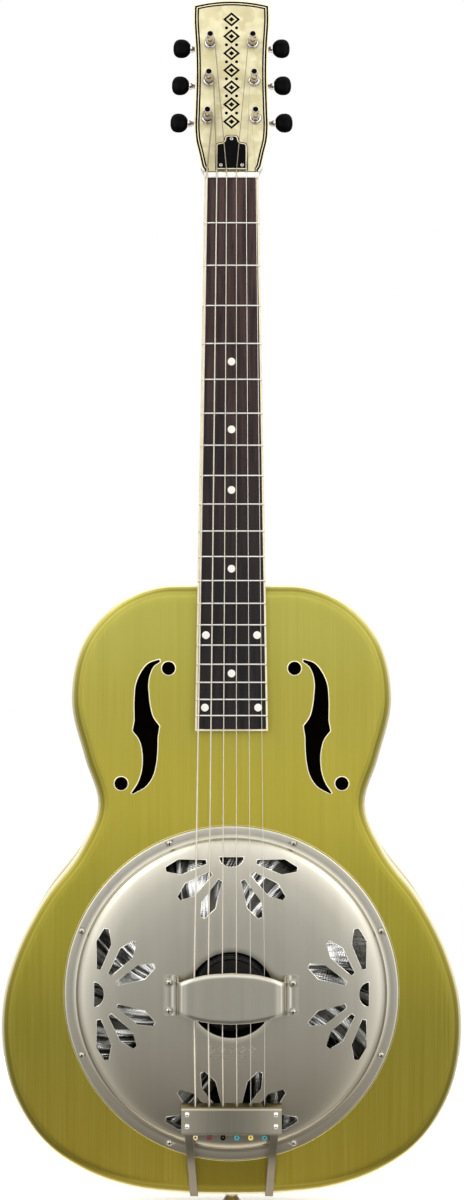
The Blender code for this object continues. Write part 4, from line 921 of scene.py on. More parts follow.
def pearl():
    """Aged pearl-effect sheet: overlapping flakes of slightly different yellow cream under a gloss."""
    made, tree, shader = start_material("pearl_plastic", 0.0, 0.28, 0.1, 0.08, 0.35)
    place = node(tree, "ShaderNodeTexCoord").outputs["Object"]
    inputs = {"Vector": place, "Scale": 70.0, "Detail": 2.0}
    drift = node(tree, "ShaderNodeTexNoise", inputs).outputs["Color"]
    warped = mix(tree, 0.012, place, drift)
    flakes = node(tree, "ShaderNodeTexVoronoi", {"Vector": warped, "Scale": 170.0}, feature="SMOOTH_F1")
    tone = node(tree, "ShaderNodeSeparateColor", {0: flakes.outputs["Color"]}).outputs[0]
    cloud = object_noise(tree, (40, 40, 30), detail=3)
    colour = mix(tree, remap(tree, tone, 0.1, 0.9), (0.53, 0.47, 0.26), (0.76, 0.70, 0.46))
    colour = mix(tree, remap(tree, cloud, 0.35, 0.7, 0.0, 0.6), colour, (0.66, 0.60, 0.36))
    surface(tree, shader, colour, remap(tree, tone, 0.0, 1.0, 0.2, 0.38))
    bump(tree, shader, tone, 0.00003, 0.4)
    return made


def plastic(name, dark, light, roughness, coat=0.0, specular=0.5):
    """Moulded plastic or bone, with faint clouding and a slightly uneven surface."""
    made, tree, shader = start_material(name, 0.0, roughness, coat, 0.06, specular)
    cloud = object_noise(tree, (160, 160, 90), detail=4)
    colour = mix(tree, remap(tree, cloud, 0.35, 0.68), dark, light)
    surface(tree, shader, colour, remap(tree, cloud, 0.2, 0.8, roughness - 0.05, roughness + 0.07))
    bump(tree, shader, object_noise(tree, (700, 700, 700), detail=2), 0.00002, 0.4)
    return made


def dim_over_head(string):
    """Darkens a string's metal past the nut, towards the head."""
    tree = string.node_tree
    past = remap(tree, place_axis(tree, "Z"), NUT_HEIGHT, NUT_HEIGHT + 0.008)
    return tinted(string, past, (0.42, 0.37, 0.27))


def wound_string():
    """Fine wire wound round a core, which shows as close ridges across the string, with painted shade in
    the grooves between the turns.
    """
    made, tree, shader = start_material("wound_string", 1.0, 0.42)
    ridge = maths(tree, "SINE", maths(tree, "MULTIPLY", place_axis(tree, "Z"), 16000))
    tarnish = object_noise(tree, (60, 60, 60), detail=3)
    colour = mix(tree, remap(tree, tarnish, 0.35, 0.7), (0.90, 0.82, 0.68), (0.99, 0.95, 0.86))
    # Painted shade darkening the grooves between the ridges.
    colour = mix(tree, remap(tree, ridge, -1.0, -0.2, 0.16, 0.0), colour, (0.30, 0.24, 0.17))
    surface(tree, shader, colour)
    bump(tree, shader, ridge, 0.00005)
    return dim_over_head(made)


def plain_string():
    made = brushed_metal("plain_string", (0.90, 0.86, 0.78), (0.98, 0.95, 0.90), 0.40, (200, 200, 20))
    return dim_over_head(made)


def floor_finish():
    made, tree, shader = start_material("pale_floor", 0.0, 0.55)
    cloud = object_noise(tree, (3, 3, 3), detail=4)
    colour = mix(tree, cloud, (0.88, 0.88, 0.88), (0.93, 0.93, 0.93))
    surface(tree, shader, colour)
    shader.inputs["Emission Color"].default_value = (1, 1, 1, 1)
    shader.inputs["Emission Strength"].default_value = 0.35
    return made


def make_materials():
    return {
        "olive": olive_finish(),
        "nickel": plate_nickel("brushed_nickel"),
        "cover_nickel": cover_metal(),
        "tail_nickel": tail_plate_metal(),
        # The legs' plating is a darker copy of the nickel, as painted shade.
        "tail_leg": brushed_metal("nickel_darkened_as_painted_shade", (0.20, 0.17, 0.12), (0.32, 0.28, 0.21), 0.36),
        "nickel_across": round_metal("brushed_nickel_round", *NICKEL, 0.28),
        "chrome": round_metal("chrome", (0.62, 0.57, 0.52), (0.86, 0.80, 0.75), 0.12),
        # A lighter copy of the nickel, as painted highlight on petal edges, rivets and screw heads.
        "bright": round_metal("nickel_lightened_as_painted_highlight", (0.80, 0.76, 0.66), (0.95, 0.92, 0.84), 0.2),
        "inside": plastic("dark_inside", (0.020, 0.014, 0.006), (0.036, 0.025, 0.011), 0.75, specular=0.1),
        "worn_olive": round_metal("worn_olive", (0.62, 0.55, 0.20), (0.80, 0.73, 0.36), 0.3, 250),
        "worn": round_metal("worn_edge", (0.86, 0.76, 0.46), (0.98, 0.92, 0.70), 0.34, 250),
        "bare": round_metal("bare_metal", (0.30, 0.29, 0.27), (0.45, 0.44, 0.41), 0.42, 120),
        "spun": spun_aluminium(),
        "fret": brushed_metal("fret_metal", (0.84, 0.81, 0.74), (0.95, 0.93, 0.87), 0.36, (40, 900, 900)),
        "wound": wound_string(),
        "plain": plain_string(),
        "neck": wood("neck_wood", (0.030, 0.009, 0.006), (0.085, 0.028, 0.014), 0.34, 0.5),
        "board": board_wood(),
        "maple": wood("maple", (0.50, 0.34, 0.17), (0.66, 0.49, 0.28), 0.45, 0.1),
        # Wood coloured near black for the biscuit, as painted shade in the cover's centre hole.
        "painted_shade_wood": wood("ebonised_wood", (0.005, 0.004, 0.003), (0.014, 0.010, 0.008), 0.55, 0.0, 0.1),
        "pearl": pearl(),
        "cream": plastic("aged_cream", (0.80, 0.71, 0.47), (0.90, 0.82, 0.59), 0.30, specular=0.35),
        "bone": plastic("bone", (0.84, 0.81, 0.72), (0.92, 0.90, 0.83), 0.34, 0.1),
        "black": plastic("black_plastic", (0.002, 0.002, 0.002), (0.005, 0.004, 0.004), 0.24, 0.0, 0.03),
        "brass": round_metal("brass", (0.70, 0.55, 0.28), (0.92, 0.80, 0.52), 0.25),
        "red": plastic("ball_red", (0.16, 0.006, 0.005), (0.24, 0.010, 0.008), 0.3),
        "teal": plastic("ball_teal", (0.03, 0.30, 0.36), (0.05, 0.42, 0.50), 0.3),
        "yellow": plastic("ball_yellow", (0.72, 0.55, 0.08), (0.85, 0.68, 0.14), 0.3),
        "floor": floor_finish(),
    }


# ---------- body ----------


def rolled_plate(outline):
    """The front surface of a plate whose edge rolls back to the sides."""
    rings = [(ROLL_WIDTH + 0.006, 0.0), (ROLL_WIDTH + 0.001, 0.0)]
    for k in range(1, ROLL_STEPS + 1):
        angle = pi / 2 * k / ROLL_STEPS
        rings.append((ROLL_WIDTH * (1 - sin(angle)), -ROLL_DEPTH * (1 - cos(angle))))

    def build(bm):
        rows = []
        for distance, height in rings:
            rows.append([bm.verts.new((x, y, height)) for x, y in inset(outline, distance)])
        bm.faces.new(rows[0])
        for row, following in zip(rows, rows[1:]):
            for i, start in enumerate(row):
                j = (i + 1) % len(row)
                bm.faces.new((start, following[i], following[j], row[j]))

    return mesh_of(build)


def sound_hole_outlines():
    """Closed anticlockwise outlines of every sound hole."""
    right = []
    for run in SOUND_HOLE_RUNS:
        right += smooth(run, SOUND_HOLE_STEP)[:-1]
    right.reverse()
    outlines = [right, [(-x, y) for x, y in reversed(right)]]
    for side in (-1, 1):
        for x, y in ROUND_HOLES:
            outlines.append(circle(ROUND_HOLE_RADIUS, 48, (side * x, y)))
    return outlines


def signed_area(outline):
    return sum(a[0] * b[1] - b[0] * a[1] for a, b in zip(outline, outline[1:] + outline[:1])) / 2


def anticlockwise(outline):
    return outline if signed_area(outline) > 0 else list(reversed(outline))


def screw_places():
    angles = [2 * pi * (k + 0.5) / SCREW_COUNT for k in range(SCREW_COUNT)]
    return [(SCREW_CIRCLE_RADIUS * cos(a), SCREW_CIRCLE_RADIUS * sin(a)) for a in angles]


def painted_inside(surface):
    """The surface as a sheet whose inner faces take the second of its two materials."""
    surface.materials.append(looks["olive"])
    surface.materials.append(looks["inside"])
    return changed(surface, thicken(SHEET, 1))


def make_body():
    outline = smooth(mirrored(HALF_OUTLINE), OUTLINE_STEP, closed=True)
    holes = sound_hole_outlines()
    well = cylinder(WELL_RADIUS - GAP, -REACH, REACH, COVER_SEGMENTS, (0, CENTRE_HEIGHT))
    cutters = [cut(slab([hole], -REACH, REACH)) for hole in holes]
    top = changed(painted_inside(rolled_plate(outline)), cut(well), *cutters)
    piece("body_top_sheet", top, BODY_FRONT, "olive", replaces=["body_top"], sharp=45)
    rims = joined([edge_bead(hole, HOLE_EDGE_SECTION) for hole in holes])
    piece("sound_hole_edges", rims, BODY_FRONT, "worn", sharp=60)

    back = painted_inside(rolled_plate(outline))
    piece("body_back_sheet", back, BODY_REAR, "olive", replaces=["body_back"], sharp=45)

    low = ROLL_DEPTH + SEAM / 2 - BODY_DEPTH
    high = -ROLL_DEPTH - SEAM / 2
    heights = [low, low + 0.0006, low + 0.004, high - 0.004, high - 0.0006, high]
    wall = [[(x, y, height) for x, y in outline] for height in heights]
    sides = painted_inside(loft(wall, capped=False))
    piece("body_side_band", sides, BODY_FRONT, "olive", replaces=["body_sides"])


def make_cone():
    rim = -WELL_DEPTH + GAP + CONE_SHEET
    crown = BISCUIT_BASE - GAP
    shoulder, fall = CONE_CROWN[-1]
    outer = [(radius, crown - drop) for radius, drop in CONE_CROWN]
    for k in range(1, CONE_RINGS):
        share = k / CONE_RINGS
        radius = blend(shoulder, CONE_FOOT, share)
        ripple = CONE_RIPPLE * sin(share * pi * CONE_RIPPLES)
        outer.append((radius, blend(crown - fall, rim, share) + ripple))
    outer += [(CONE_FOOT, rim), (0.1135, rim + 0.0002), (0.1158, rim)]
    under = [(radius, height - CONE_SHEET) for radius, height in reversed(outer)]
    cone = turned(outer + under, 120)
    piece("spun_cone", cone, CENTRE_FRONT, "spun", replaces=["resonator_cone"], sharp=50)


def make_biscuit():
    edge = [(BISCUIT_RADIUS - inward, BISCUIT_TOP - down) for inward, down in BISCUIT_EDGE]
    profile = [(0, BISCUIT_TOP), *edge, (BISCUIT_RADIUS, BISCUIT_BASE), (0, BISCUIT_BASE)]
    half = SADDLE_THICKNESS / 2 + GAP
    bottom = BISCUIT_TOP - SADDLE_SEAT_DEPTH - GAP
    groove = box((-0.04, -half, bottom), (0.04, half, BISCUIT_TOP + REACH))
    disc = changed(turned(profile, 72), cut(groove))
    # The biscuit is coloured near black as painted shade in the centre hole.
    piece("biscuit", disc, CENTRE_FRONT, "painted_shade_wood", replaces=["bridge_biscuit"])


def make_saddle():
    seat = BISCUIT_TOP - SADDLE_SEAT_DEPTH
    half = SADDLE_THICKNESS / 2
    rings = []
    for k in range(SADDLE_STATIONS):
        along = blend(-SADDLE_HALF_LENGTH, SADDLE_HALF_LENGTH, k / (SADDLE_STATIONS - 1))
        x = STRING_SHIFT_AT_SADDLE + along
        top = saddle_height(x)
        crown = [(x, half * share, top - down) for share, down in SADDLE_CROWN]
        rings.append([(x, -half, seat), (x, half, seat), *crown])
    piece("saddle", loft(rings), CENTRE_FRONT, "maple", replaces=["bridge_saddle"], sharp=30)


def flower_outlines():
    """The openings of the four flowers, about the centre of the cover."""
    outlines = []
    for quarter in range(4):
        outward = quarter * pi / 2
        centre = Vector((cos(outward), sin(outward))) * FLOWER_CIRCLE_RADIUS
        inward = -centre.normalized()
        across = Vector((-inward.y, inward.x))
        eye = []
        for k in range(17):
            angle = pi * k / 16
            side = across * FLOWER_EYE_HALF_WIDTH * cos(angle)
            eye.append(tuple(centre + side + inward * FLOWER_EYE_DEPTH * sin(angle)))
        outlines.append(eye)
        for degrees in PETAL_ANGLES:
            toward = outward + pi / 2 + radians(degrees)
            along = Vector((cos(toward), sin(toward)))
            across = Vector((-along.y, along.x))
            one = [centre + along * out + across * half for out, half in PETAL_SHAPE]
            other = [centre + along * out - across * half for out, half in reversed(PETAL_SHAPE)]
            outlines.append([tuple(point) for point in one + other])
    return [anticlockwise(outline) for outline in outlines]


def dense(outline, step):
    """The outline with points added along its straight runs."""
    made = []
    for start, end in zip(outline, outline[1:] + outline[:1]):
        start, end = Vector(start), Vector(end)
        pieces = max(1, round((end - start).length / step))
        made += [tuple(start.lerp(end, k / pieces)) for k in range(pieces)]
    return made


def cover_height(radius):
    """Height of the cover's outer surface at a radius."""
    for (r1, z1), (r2, z2) in zip(COVER_PROFILE, COVER_PROFILE[1:]):
        if radius <= r2:
            return blend(z1, z2, (radius - r1) / (r2 - r1))
    return COVER_PROFILE[-1][1]


def make_cover_plate():
    profile = COVER_PROFILE[:2] + smooth(COVER_PROFILE[2:-1], 0.003) + [COVER_PROFILE[-1]]
    under = [(radius, height - COVER_SHEET) for radius, height in reversed(profile)]
    under[0] = (COVER_RADIUS, GAP)
    cutters = [cut(slab([opening], -REACH, 2 * REACH)) for opening in flower_outlines()]
    drill = cylinder(SCREW_HOLE_RADIUS, -REACH, REACH, 20)
    cutters.append(cut(copies(drill, [at(x, y) for x, y in screw_places()])))
    plate = changed(turned(profile + under, COVER_SEGMENTS), *cutters)
    names = ["cover_plate"]
    piece("cover_plate_sheet", plate, CENTRE_FRONT, "cover_nickel", "guitar", names, 40)


def make_petal_edges():
    rims = []
    for opening in flower_outlines():
        outline = dense(opening, 0.004)
        rings = []
        for distance, height in PETAL_EDGE_SECTION:
            moved = inset(outline, -distance)
            rings.append([(x, y, cover_height(Vector((x, y)).length) + height) for x, y in moved])
        rims.append(loft(rings, looped=True))
    # The petal edges are a lighter nickel, as painted highlight.
    piece("petal_edges", joined(rims), CENTRE_FRONT, "bright", sharp=60)


def make_cover_seat_edge():
    """The pale line on the body round the cover."""
    edge = turned(COVER_SEAT_SECTION, COVER_SEGMENTS)
    piece("cover_seat_edge", edge, CENTRE_FRONT, "worn_olive", sharp=60)


def make_cover_screws():
    seat = COVER_PROFILE[-2][1]
    heads = copies(screw_mesh(*COVER_SCREW), [at(x, y, seat, 0.6 + x * 40) for x, y in screw_places()])
    stems = copies(cylinder(0.0012, -0.006, seat + 0.0003, 12), [at(x, y) for x, y in screw_places()])
    screws = joined([heads, stems])
    names = [f"cover_screw_{number}" for number in range(1, SCREW_COUNT + 1)]
    piece("cover_screws", screws, CENTRE_FRONT, "nickel_across", replaces=names, sharp=30)


def lozenge(width, height, centre=(0, 0)):
    x, y = centre
    return [(x + width, y), (x, y + height), (x - width, y), (x, y - height)]


def make_cover_ornament():
    """A plain pressed border of lozenges and bars under the centre hole."""
    shapes = []
    for k in range(5):
        x = (k - 2) * COVER_LOZENGE_PITCH
        y = COVER_LOZENGE_Y
        height = cover_height(sqrt(x * x + y * y))
        outlines = [lozenge(0.0034, 0.0032, (x, y)), lozenge(0.0020, 0.0019, (x, y))]
        shapes.append(slab(outlines, height - 0.0002, height + 0.0006))
        shapes.append(slab([lozenge(0.0009, 0.0009, (x, y))], height - 0.0002, height + 0.0007))
    for y, half in COVER_BARS:
        height = cover_height(-y)
        bar = [(-half, y - 0.0003), (half, y - 0.0003), (half, y + 0.0003), (-half, y + 0.0003)]
        shapes.append(slab([bar], height - 0.0004, height + 0.0005))
    ornament = changed(joined(shapes), bevel(0.0002, 1))
    piece("cover_ornament", ornament, CENTRE_FRONT, "nickel_across", sharp=30)


def make_palm_rest():
    right = smooth(PALM_REST_STATIONS, 0.0012)
    stations = [(-x, height, half) for x, height, half in reversed(right[1:])] + right
    top = PALM_REST_STATIONS[0][1]
    foot = PALM_REST_STATIONS[-1][1]
    tip = PALM_REST_STATIONS[-1][0]
    rows = []
    for x, height, half in stations:
        into_corner = max(0.0, abs(x) - (tip - PALM_REST_CORNER)) / PALM_REST_CORNER
        half -= PALM_REST_CORNER * (1 - sqrt(max(0.0, 1 - into_corner * into_corner)))
        raised = min(1.0, (height - foot) / (top - foot))
        row = []
        for k in range(7):
            angle = pi / 2 * k / 6
            y = half - PALM_REST_EDGE_WIDTH * (1 - cos(angle))
            row.append((y, height - PALM_REST_EDGE_DROP * raised * (1 - sin(angle))))
        flat = (half - PALM_REST_EDGE_WIDTH - 0.0006, height)
        across = [(-y, z) for y, z in (*row, flat)] + [(0.0, height)] + [flat, *reversed(row)]
        rows.append([(x, y, z) for y, z in across])
    strip = changed(loft(rows, closed=False, capped=False), thicken(PALM_REST_SHEET))
    names = ["palm_rest"]
    piece("palm_rest_strip", strip, CENTRE_FRONT, "nickel", replaces=names, sharp=50)


def make_palm_rest_screws():
    foot = PALM_REST_STATIONS[-1][1]
    places = [at(x, y, foot, 0.5 + 40 * y) for x, y in PALM_REST_SCREWS]
    washers = copies(turned(WASHER_PROFILE, 32), places)
    above = [place @ Matrix.Translation((0, 0, WASHER_THICKNESS)) for place in places]
    screws = joined([copies(screw_mesh(*PALM_REST_SCREW), above), washers])
    piece("palm_rest_screws", screws, CENTRE_FRONT, "nickel_across", sharp=30)


# ---------- tailpiece and end button ----------


def string_x(number, half_spread, shift=0.0):
    return shift + blend(-half_spread, half_spread, number / 5)


def make_tail_plate():
    ends = (-TAIL_PLATE_HALF_WIDTH, TAIL_PLATE_HALF_WIDTH)
    rows = [[(x, y, z) for y, z in TAIL_PLATE_SECTION] for x in ends]
    under = TAIL_PLATE_SECTION[0][0] - REACH
    over = TAIL_PLATE_SECTION[-1][0] + REACH
    slots = []
    for number in range(6):
        x = string_x(number, STRING_HALF_SPREAD_AT_TAIL, STRING_SHIFT_AT_TAIL)
        left = x - TAIL_SLOT_WIDTH / 2
        right = x + TAIL_SLOT_WIDTH / 2
        slots.append(box((left, TAIL_LIP_SLOT_START, 0), (right, over, TAIL_SLOT_TOP)))
        slots.append(box((left, under, 0), (right, TAIL_EDGE_SLOT_END, TAIL_SLOT_TOP)))
    for side in (-1, 1):
        near = side * (LEG_X_AT_PLATE - LEG_WIDTH / 2 - GAP)
        far = side * (TAIL_PLATE_HALF_WIDTH + REACH)
        low = (min(near, far), under, 0)
        slots.append(box(low, (max(near, far), TAIL_EDGE_SLOT_END, TAIL_LEG_SLOT_TOP)))
    sheet = loft(rows, closed=False, capped=False)
    plate = changed(sheet, thicken(TAIL_PLATE_SHEET), cut(joined(slots)), bevel(0.00018, 2))
    names = ["tailpiece_plate"]
    piece("tail_plate", plate, BODY_FRONT, "tail_nickel", replaces=names, sharp=40)
    top = TAIL_PLATE_SECTION[4][1]
    rivets = copies(turned(RIVET_PROFILE, 28), [at(x, y, top) for x, y in RIVETS])
    # The rivets are a lighter nickel, as painted highlight.
    piece("tail_rivets", rivets, BODY_FRONT, "bright", sharp=60)


def leg_path():
    """Centre line of a tailpiece leg as (height up the body, height in front), down and round its end."""
    behind_plate = TAIL_PLATE_SECTION[4][1] - TAIL_PLATE_SHEET - GAP - LEG_THICKNESS / 2
    path = smooth([(0.082, behind_plate), (0.061, behind_plate)] + LEG_BEND, 0.003)
    for k in range(9):
        angle = pi / 2 * (0.35 + 0.65 * k / 8)
        y = TAIL_EDGE + ROLL_WIDTH * (1 - sin(angle)) - LEG_STAND_OFF * sin(angle)
        z = -ROLL_DEPTH * (1 - cos(angle)) + LEG_STAND_OFF * cos(angle)
        path.append((y, z))
    path.append((TAIL_EDGE - LEG_STAND_OFF, -BODY_DEPTH / 2 - TAB_HALF_DEPTH))
    return path


def make_tail_frame():
    path = leg_path()
    half = LEG_WIDTH / 2
    flat = half - LEG_ROUNDING
    section = [(-flat, -1), (flat, -1), (half, -0.4), (half, 0.4)]
    section += [(-x, -out) for x, out in section]
    legs = []
    for side in (-1, 1):
        rings = []
        for i, (y, z) in enumerate(path):
            before = Vector(path[max(i - 1, 0)])
            after = Vector(path[min(i + 1, len(path) - 1)])
            along = (after - before).normalized()
            share = min(1, max(0, (LEG_TAPER[0] - y) / (LEG_TAPER[0] - LEG_TAPER[1])))
            x = side * blend(LEG_X_AT_PLATE, LEG_X_AT_TAIL, share)
            ring = []
            for across, out in section:
                lift = out * LEG_THICKNESS / 2
                ring.append((x + across, y - along.y * lift, z + along.x * lift))
            rings.append(ring)
        legs.append(loft(rings))
    reach = LEG_X_AT_TAIL + LEG_WIDTH / 2 - 0.0005
    depth = TAB_HALF_DEPTH - 0.0005
    tab = box((-reach, -depth, TAB_HEIGHTS[0]), (reach, depth, TAB_HEIGHTS[1]))
    peg = cylinder(0.0035, 0, 0.036, 32)
    for mesh in (tab, peg):
        mesh.transform(BODY_FRONT.inverted())
    frame = changed(joined(legs), add(tab), cut(peg))
    piece("tail_frame", frame, BODY_FRONT, "tail_leg", replaces=["tailpiece_frame"])


def make_ball_ends():
    """A ferrule at the end of each string, coloured to tell the strings apart."""
    edge = 0.0003
    half = BALL_HALF_LENGTH
    profile = [(BALL_BORE, -half), (BALL_RADIUS - edge, -half), (BALL_RADIUS, -half + edge)]
    profile += [(BALL_RADIUS - 0.0004, 0), (BALL_RADIUS, half - edge), (BALL_RADIUS - edge, half)]
    profile += [(BALL_BORE + edge, half), (BALL_BORE, half - edge)]
    for number, colour in enumerate(BALL_COLOURS):
        x = string_x(number, STRING_HALF_SPREAD_AT_TAIL, STRING_SHIFT_AT_TAIL)
        frame = BODY_FRONT @ at(x, *BALL_END)
        piece(f"ball_end_{number + 1}", turned(profile, 28), frame, colour, sharp=50)


def make_end_button():
    button = turned(BUTTON_PROFILE, 48)
    names = ["end_button"]
    piece("strap_button", button, WORLD, "nickel_across", replaces=names, sharp=50)


# ---------- neck and fingerboard ----------


def half_width(y):
    return blend(HALF_WIDTH_AT_NUT, HALF_WIDTH_AT_BOARD_END, max(0, -y) / BOARD_LENGTH)


def arch(x):
    return -x * x / (2 * BOARD_RADIUS)


def neck_section(y, share, depth):
    """A half-round section of the neck's back, flat in front under the board."""
    half = half_width(y) * share
    top = -BOARD_THICKNESS - GAP
    points = []
    for k in range(NECK_STEPS + 1):
        angle = pi * k / NECK_STEPS
        x = half * copysign(abs(cos(angle)) ** NECK_POWER, cos(angle))
        points.append((x, y, top - (depth + top) * sin(angle) ** NECK_POWER))
    return points


def head_right_side():
    """Right half of the head's outline, from the nut up to the middle of its arched top."""
    side = smooth(HALF_HEAD, 0.002)
    corner = side[-1]
    side = [spot for spot in side if (Vector(spot) - Vector(corner)).length > 1.2 * EDGING[-1][1]]
    arc = []
    for k in range(2, HEAD_ARC_STEPS):
        share = k / HEAD_ARC_STEPS
        arc.append((corner[0] * (1 - share), blend(corner[1], HEAD_TOP, 1 - (1 - share) ** 2)))
    return side + [corner] + arc + [(0.0, HEAD_TOP)]


def post_places():
    """(x, y) of every post's axis in the frame of the head."""
    return [post_in_head(side, row) for side in (-1, 1) for row in (-1, 0, 1)]


def post_in_head(side, row):
    x = side * (POST_ROW_X - row * POST_SPACING * sin(POST_ROW_LEAN))
    y = POST_ROW_HEIGHT + row * POST_SPACING * cos(POST_ROW_LEAN)
    return Vector((x, y))


def post_hole_cutter():
    drill = cylinder(BUSHING_SLEEVE_RADIUS + GAP, -2 * HEAD_THICKNESS, REACH, 32)
    return copies(drill, [at(x, y) for x, y in post_places()])


def pocket_cutter(depth):
    """The pocket for the rod's nut, in the frame of the head."""
    low, high = POCKET_RANGE
    return box((-POCKET_HALF_WIDTH, low, -depth), (POCKET_HALF_WIDTH, high, REACH))


def moved_between(mesh, source, target):
    """The mesh, given in one frame, as seen in another."""
    mesh.transform(target.inverted() @ source)
    return mesh


def make_neck():
    sections = smooth(NECK_SECTIONS, 0.005) + NECK_TONGUE
    rings = [neck_section(y, share, depth) for y, share, depth in sections]
    shaved = [(min(x, HEAD_WOOD_FOOT + y / 2), y) for x, y in head_right_side()]
    head = slab([mirrored(shaved)], -VENEER - GAP - HEAD_THICKNESS, -VENEER - GAP)
    body_low = (-COVER_RADIUS, -BODY_DEPTH / 2 - GAP, CENTRE_HEIGHT)
    body_space = box(body_low, (COVER_RADIUS, BODY_DEPTH, BODY_END + GAP))
    beyond = HALF_WIDTH_AT_NUT + REACH
    nut_space = box((-beyond, 0, -BOARD_THICKNESS - GAP), (beyond, NUT_THICKNESS, REACH))
    channel = box(
        (-ROD_HALF_WIDTH - GAP, -ROD_LENGTH - GAP, -ROD_DEPTH - ROD_HALF_DEPTH - GAP),
        (ROD_HALF_WIDTH + GAP, 0.020, -0.004),
    )
    neck = changed(
        loft(rings),
        add(moved_between(head, HEAD_FRONT, NECK_FRONT)),
        cut(moved_between(body_space, WORLD, NECK_FRONT)),
        cut(nut_space),
        cut(channel),
        cut(moved_between(pocket_cutter(POCKET_DEPTH), HEAD_FRONT, NECK_FRONT)),
        cut(moved_between(post_hole_cutter(), HEAD_FRONT, NECK_FRONT)),
    )
    piece("neck_and_head", neck, NECK_FRONT, "neck", replaces=["neck"], sharp=40)


def arched_rows(y_low, y_high, half_low, half_high, section, stations):
    """Rings across the neck that follow the board's arch, from (share from low to high, height) points."""
    rings = []
    for k in range(stations):
        share = blend(-1, 1, k / (stations - 1))
        ring = []
        for along, height in section:
            x = blend(half_low, half_high, along) * share
            ring.append((x, blend(y_low, y_high, along), arch(x) + height))
        rings.append(ring)
    return rings


def fret_place(number):
    return -SCALE_LENGTH * (1 - 2 ** (-number / 12))


def fret_mesh(number):
    """A crowned wire across the board, with its ends filed back."""
    y = fret_place(number)
    section = []
    for k in range(9):
        angle = pi * k / 8
        section.append((0.5 + 0.5 * cos(angle), GAP + (FRET_HEIGHT - GAP) * sin(angle)))
    half = half_width(y) - 0.0001
    rings = arched_rows(y - FRET_WIDTH / 2, y + FRET_WIDTH / 2, half, half, section, 15)
    for ring, end in ((rings[0], 1), (rings[-1], -1)):
        for i, (x, y_here, z) in enumerate(ring):
            lift = (z - arch(x) - GAP) / FRET_HEIGHT
            ring[i] = (x + end * 0.0007 * lift, y_here, z)
    return loft(rings)


def inlay(x, y):
    """A dot let into the board, its face following the arch."""
    rings = []
    for radius, height in DOT_SECTION:
        ring = []
        for u, v in circle(radius, 36):
            ring.append((x + u, y + v, arch(x + u) + height))
        rings.append(ring)
    return loft(rings)


def make_board():
    end = -BOARD_LENGTH + BINDING_WIDTH
    low = -BOARD_THICKNESS + 0.001
    halves = (half_width(end) - BINDING_WIDTH, half_width(0) - BINDING_WIDTH)
    crown = loft(arched_rows(end, 0, *halves, [(0, low), (1, low), (1, 0.0), (0, 0.0)], 17))
    base = box((-halves[1], end, -BOARD_THICKNESS), (halves[1], 0, low + 0.0002))
    for vertex in base.vertices:
        if vertex.co.y < end / 2:
            vertex.co.x *= halves[0] / halves[1]
    board = changed(crown, add(base))
    names = ["fingerboard"]
    piece("playing_board", board, NECK_FRONT, "board", replaces=names, sharp=30)


def make_frets():
    frets = joined([fret_mesh(number) for number in range(1, FRET_COUNT + 1)])
    piece("frets", frets, NECK_FRONT, "fret", replaces=["frets_and_binding"], sharp=40)


def make_board_binding():
    """The pale strip along both sides and the lower end of the board."""
    rings = []
    for end, up, side in ((0, 0, -1), (-BOARD_LENGTH, 1, -1), (-BOARD_LENGTH, 1, 1), (0, 0, 1)):
        x = side * half_width(end)
        ring = []
        for share, height in BINDING_SECTION:
            width = BINDING_WIDTH * share
            crown = arch(x) if height > -BOARD_THICKNESS else 0
            ring.append((x - side * width, end + up * width, crown + height))
        rings.append(ring)
    piece("board_binding", loft(rings), NECK_FRONT, "cream", sharp=40)


def make_position_dots():
    places = [(fret, 0) for fret in SINGLE_DOTS]
    for fret, offset in DOUBLE_DOTS:
        places += [(fret, -offset), (fret, offset)]
    dots = [inlay(x, (fret_place(fret) + fret_place(fret - 1)) / 2) for fret, x in places]
    piece("position_dots", joined(dots), NECK_FRONT, "bone", sharp=50)


def make_nut():
    section = [(0, -BOARD_THICKNESS), (1, -BOARD_THICKNESS)]
    section += [(along, NUT_RISE - drop) for along, drop in NUT_CROWN]
    nut = loft(arched_rows(GAP, NUT_THICKNESS - GAP, HALF_WIDTH_AT_NUT, HALF_WIDTH_AT_NUT, section, 21))
    slots = []
    for number, radius in enumerate(STRING_RADII):
        x = string_x(number, STRING_HALF_SPREAD_AT_NUT)
        level = arch(x) + NUT_RISE - 0.0004
        slots.append(box((x - radius - 0.0001, -0.002, level), (x + radius + 0.0001, 0.008, level + 0.003)))
    nut = changed(nut, cut(joined(slots)))
    piece("slotted_nut", nut, NECK_FRONT, "bone", replaces=["nut"])


# ---------- head ----------


def edging_strip(near, far):
    """A strip of the head's layered edging, between two distances in from its outline."""
    outline = mirrored(head_right_side())
    rings = []
    for outer, inner in zip(inset(outline, near, closed=False), inset(outline, far, closed=False)):
        low_outer = (outer[0], max(outer[1], HEAD_FOOT))
        low_inner = (inner[0], max(inner[1], HEAD_FOOT))
        rings.append(
            [(*low_outer, -VENEER), (*low_inner, -VENEER), (*low_inner, 0.00002), (*low_outer, 0.00002)]
        )
    return loft(rings)


def make_head_face():
    deepest = EDGING[-1][1]
    half = [point for point in inset(head_right_side(), deepest, closed=False) if point[0] > 0]
    inner = mirrored([(half[0][0], HEAD_FOOT)] + [point for point in half if point[1] > HEAD_FOOT])
    face = changed(slab([inner], -VENEER, 0), cut(post_hole_cutter()), cut(pocket_cutter(REACH)))
    piece("head_face", face, HEAD_FRONT, "pearl", replaces=["head_veneer"], sharp=30)
    edges = {"cream": ("head_binding", "ivory_plastic"), "black": ("head_purfling", "black_plastic")}
    for colour, (name, slot) in edges.items():
        strips = [edging_strip(near, far) for near, far, layer in EDGING if layer == colour]
        piece(name, joined(strips), HEAD_FRONT, colour, sharp=30)


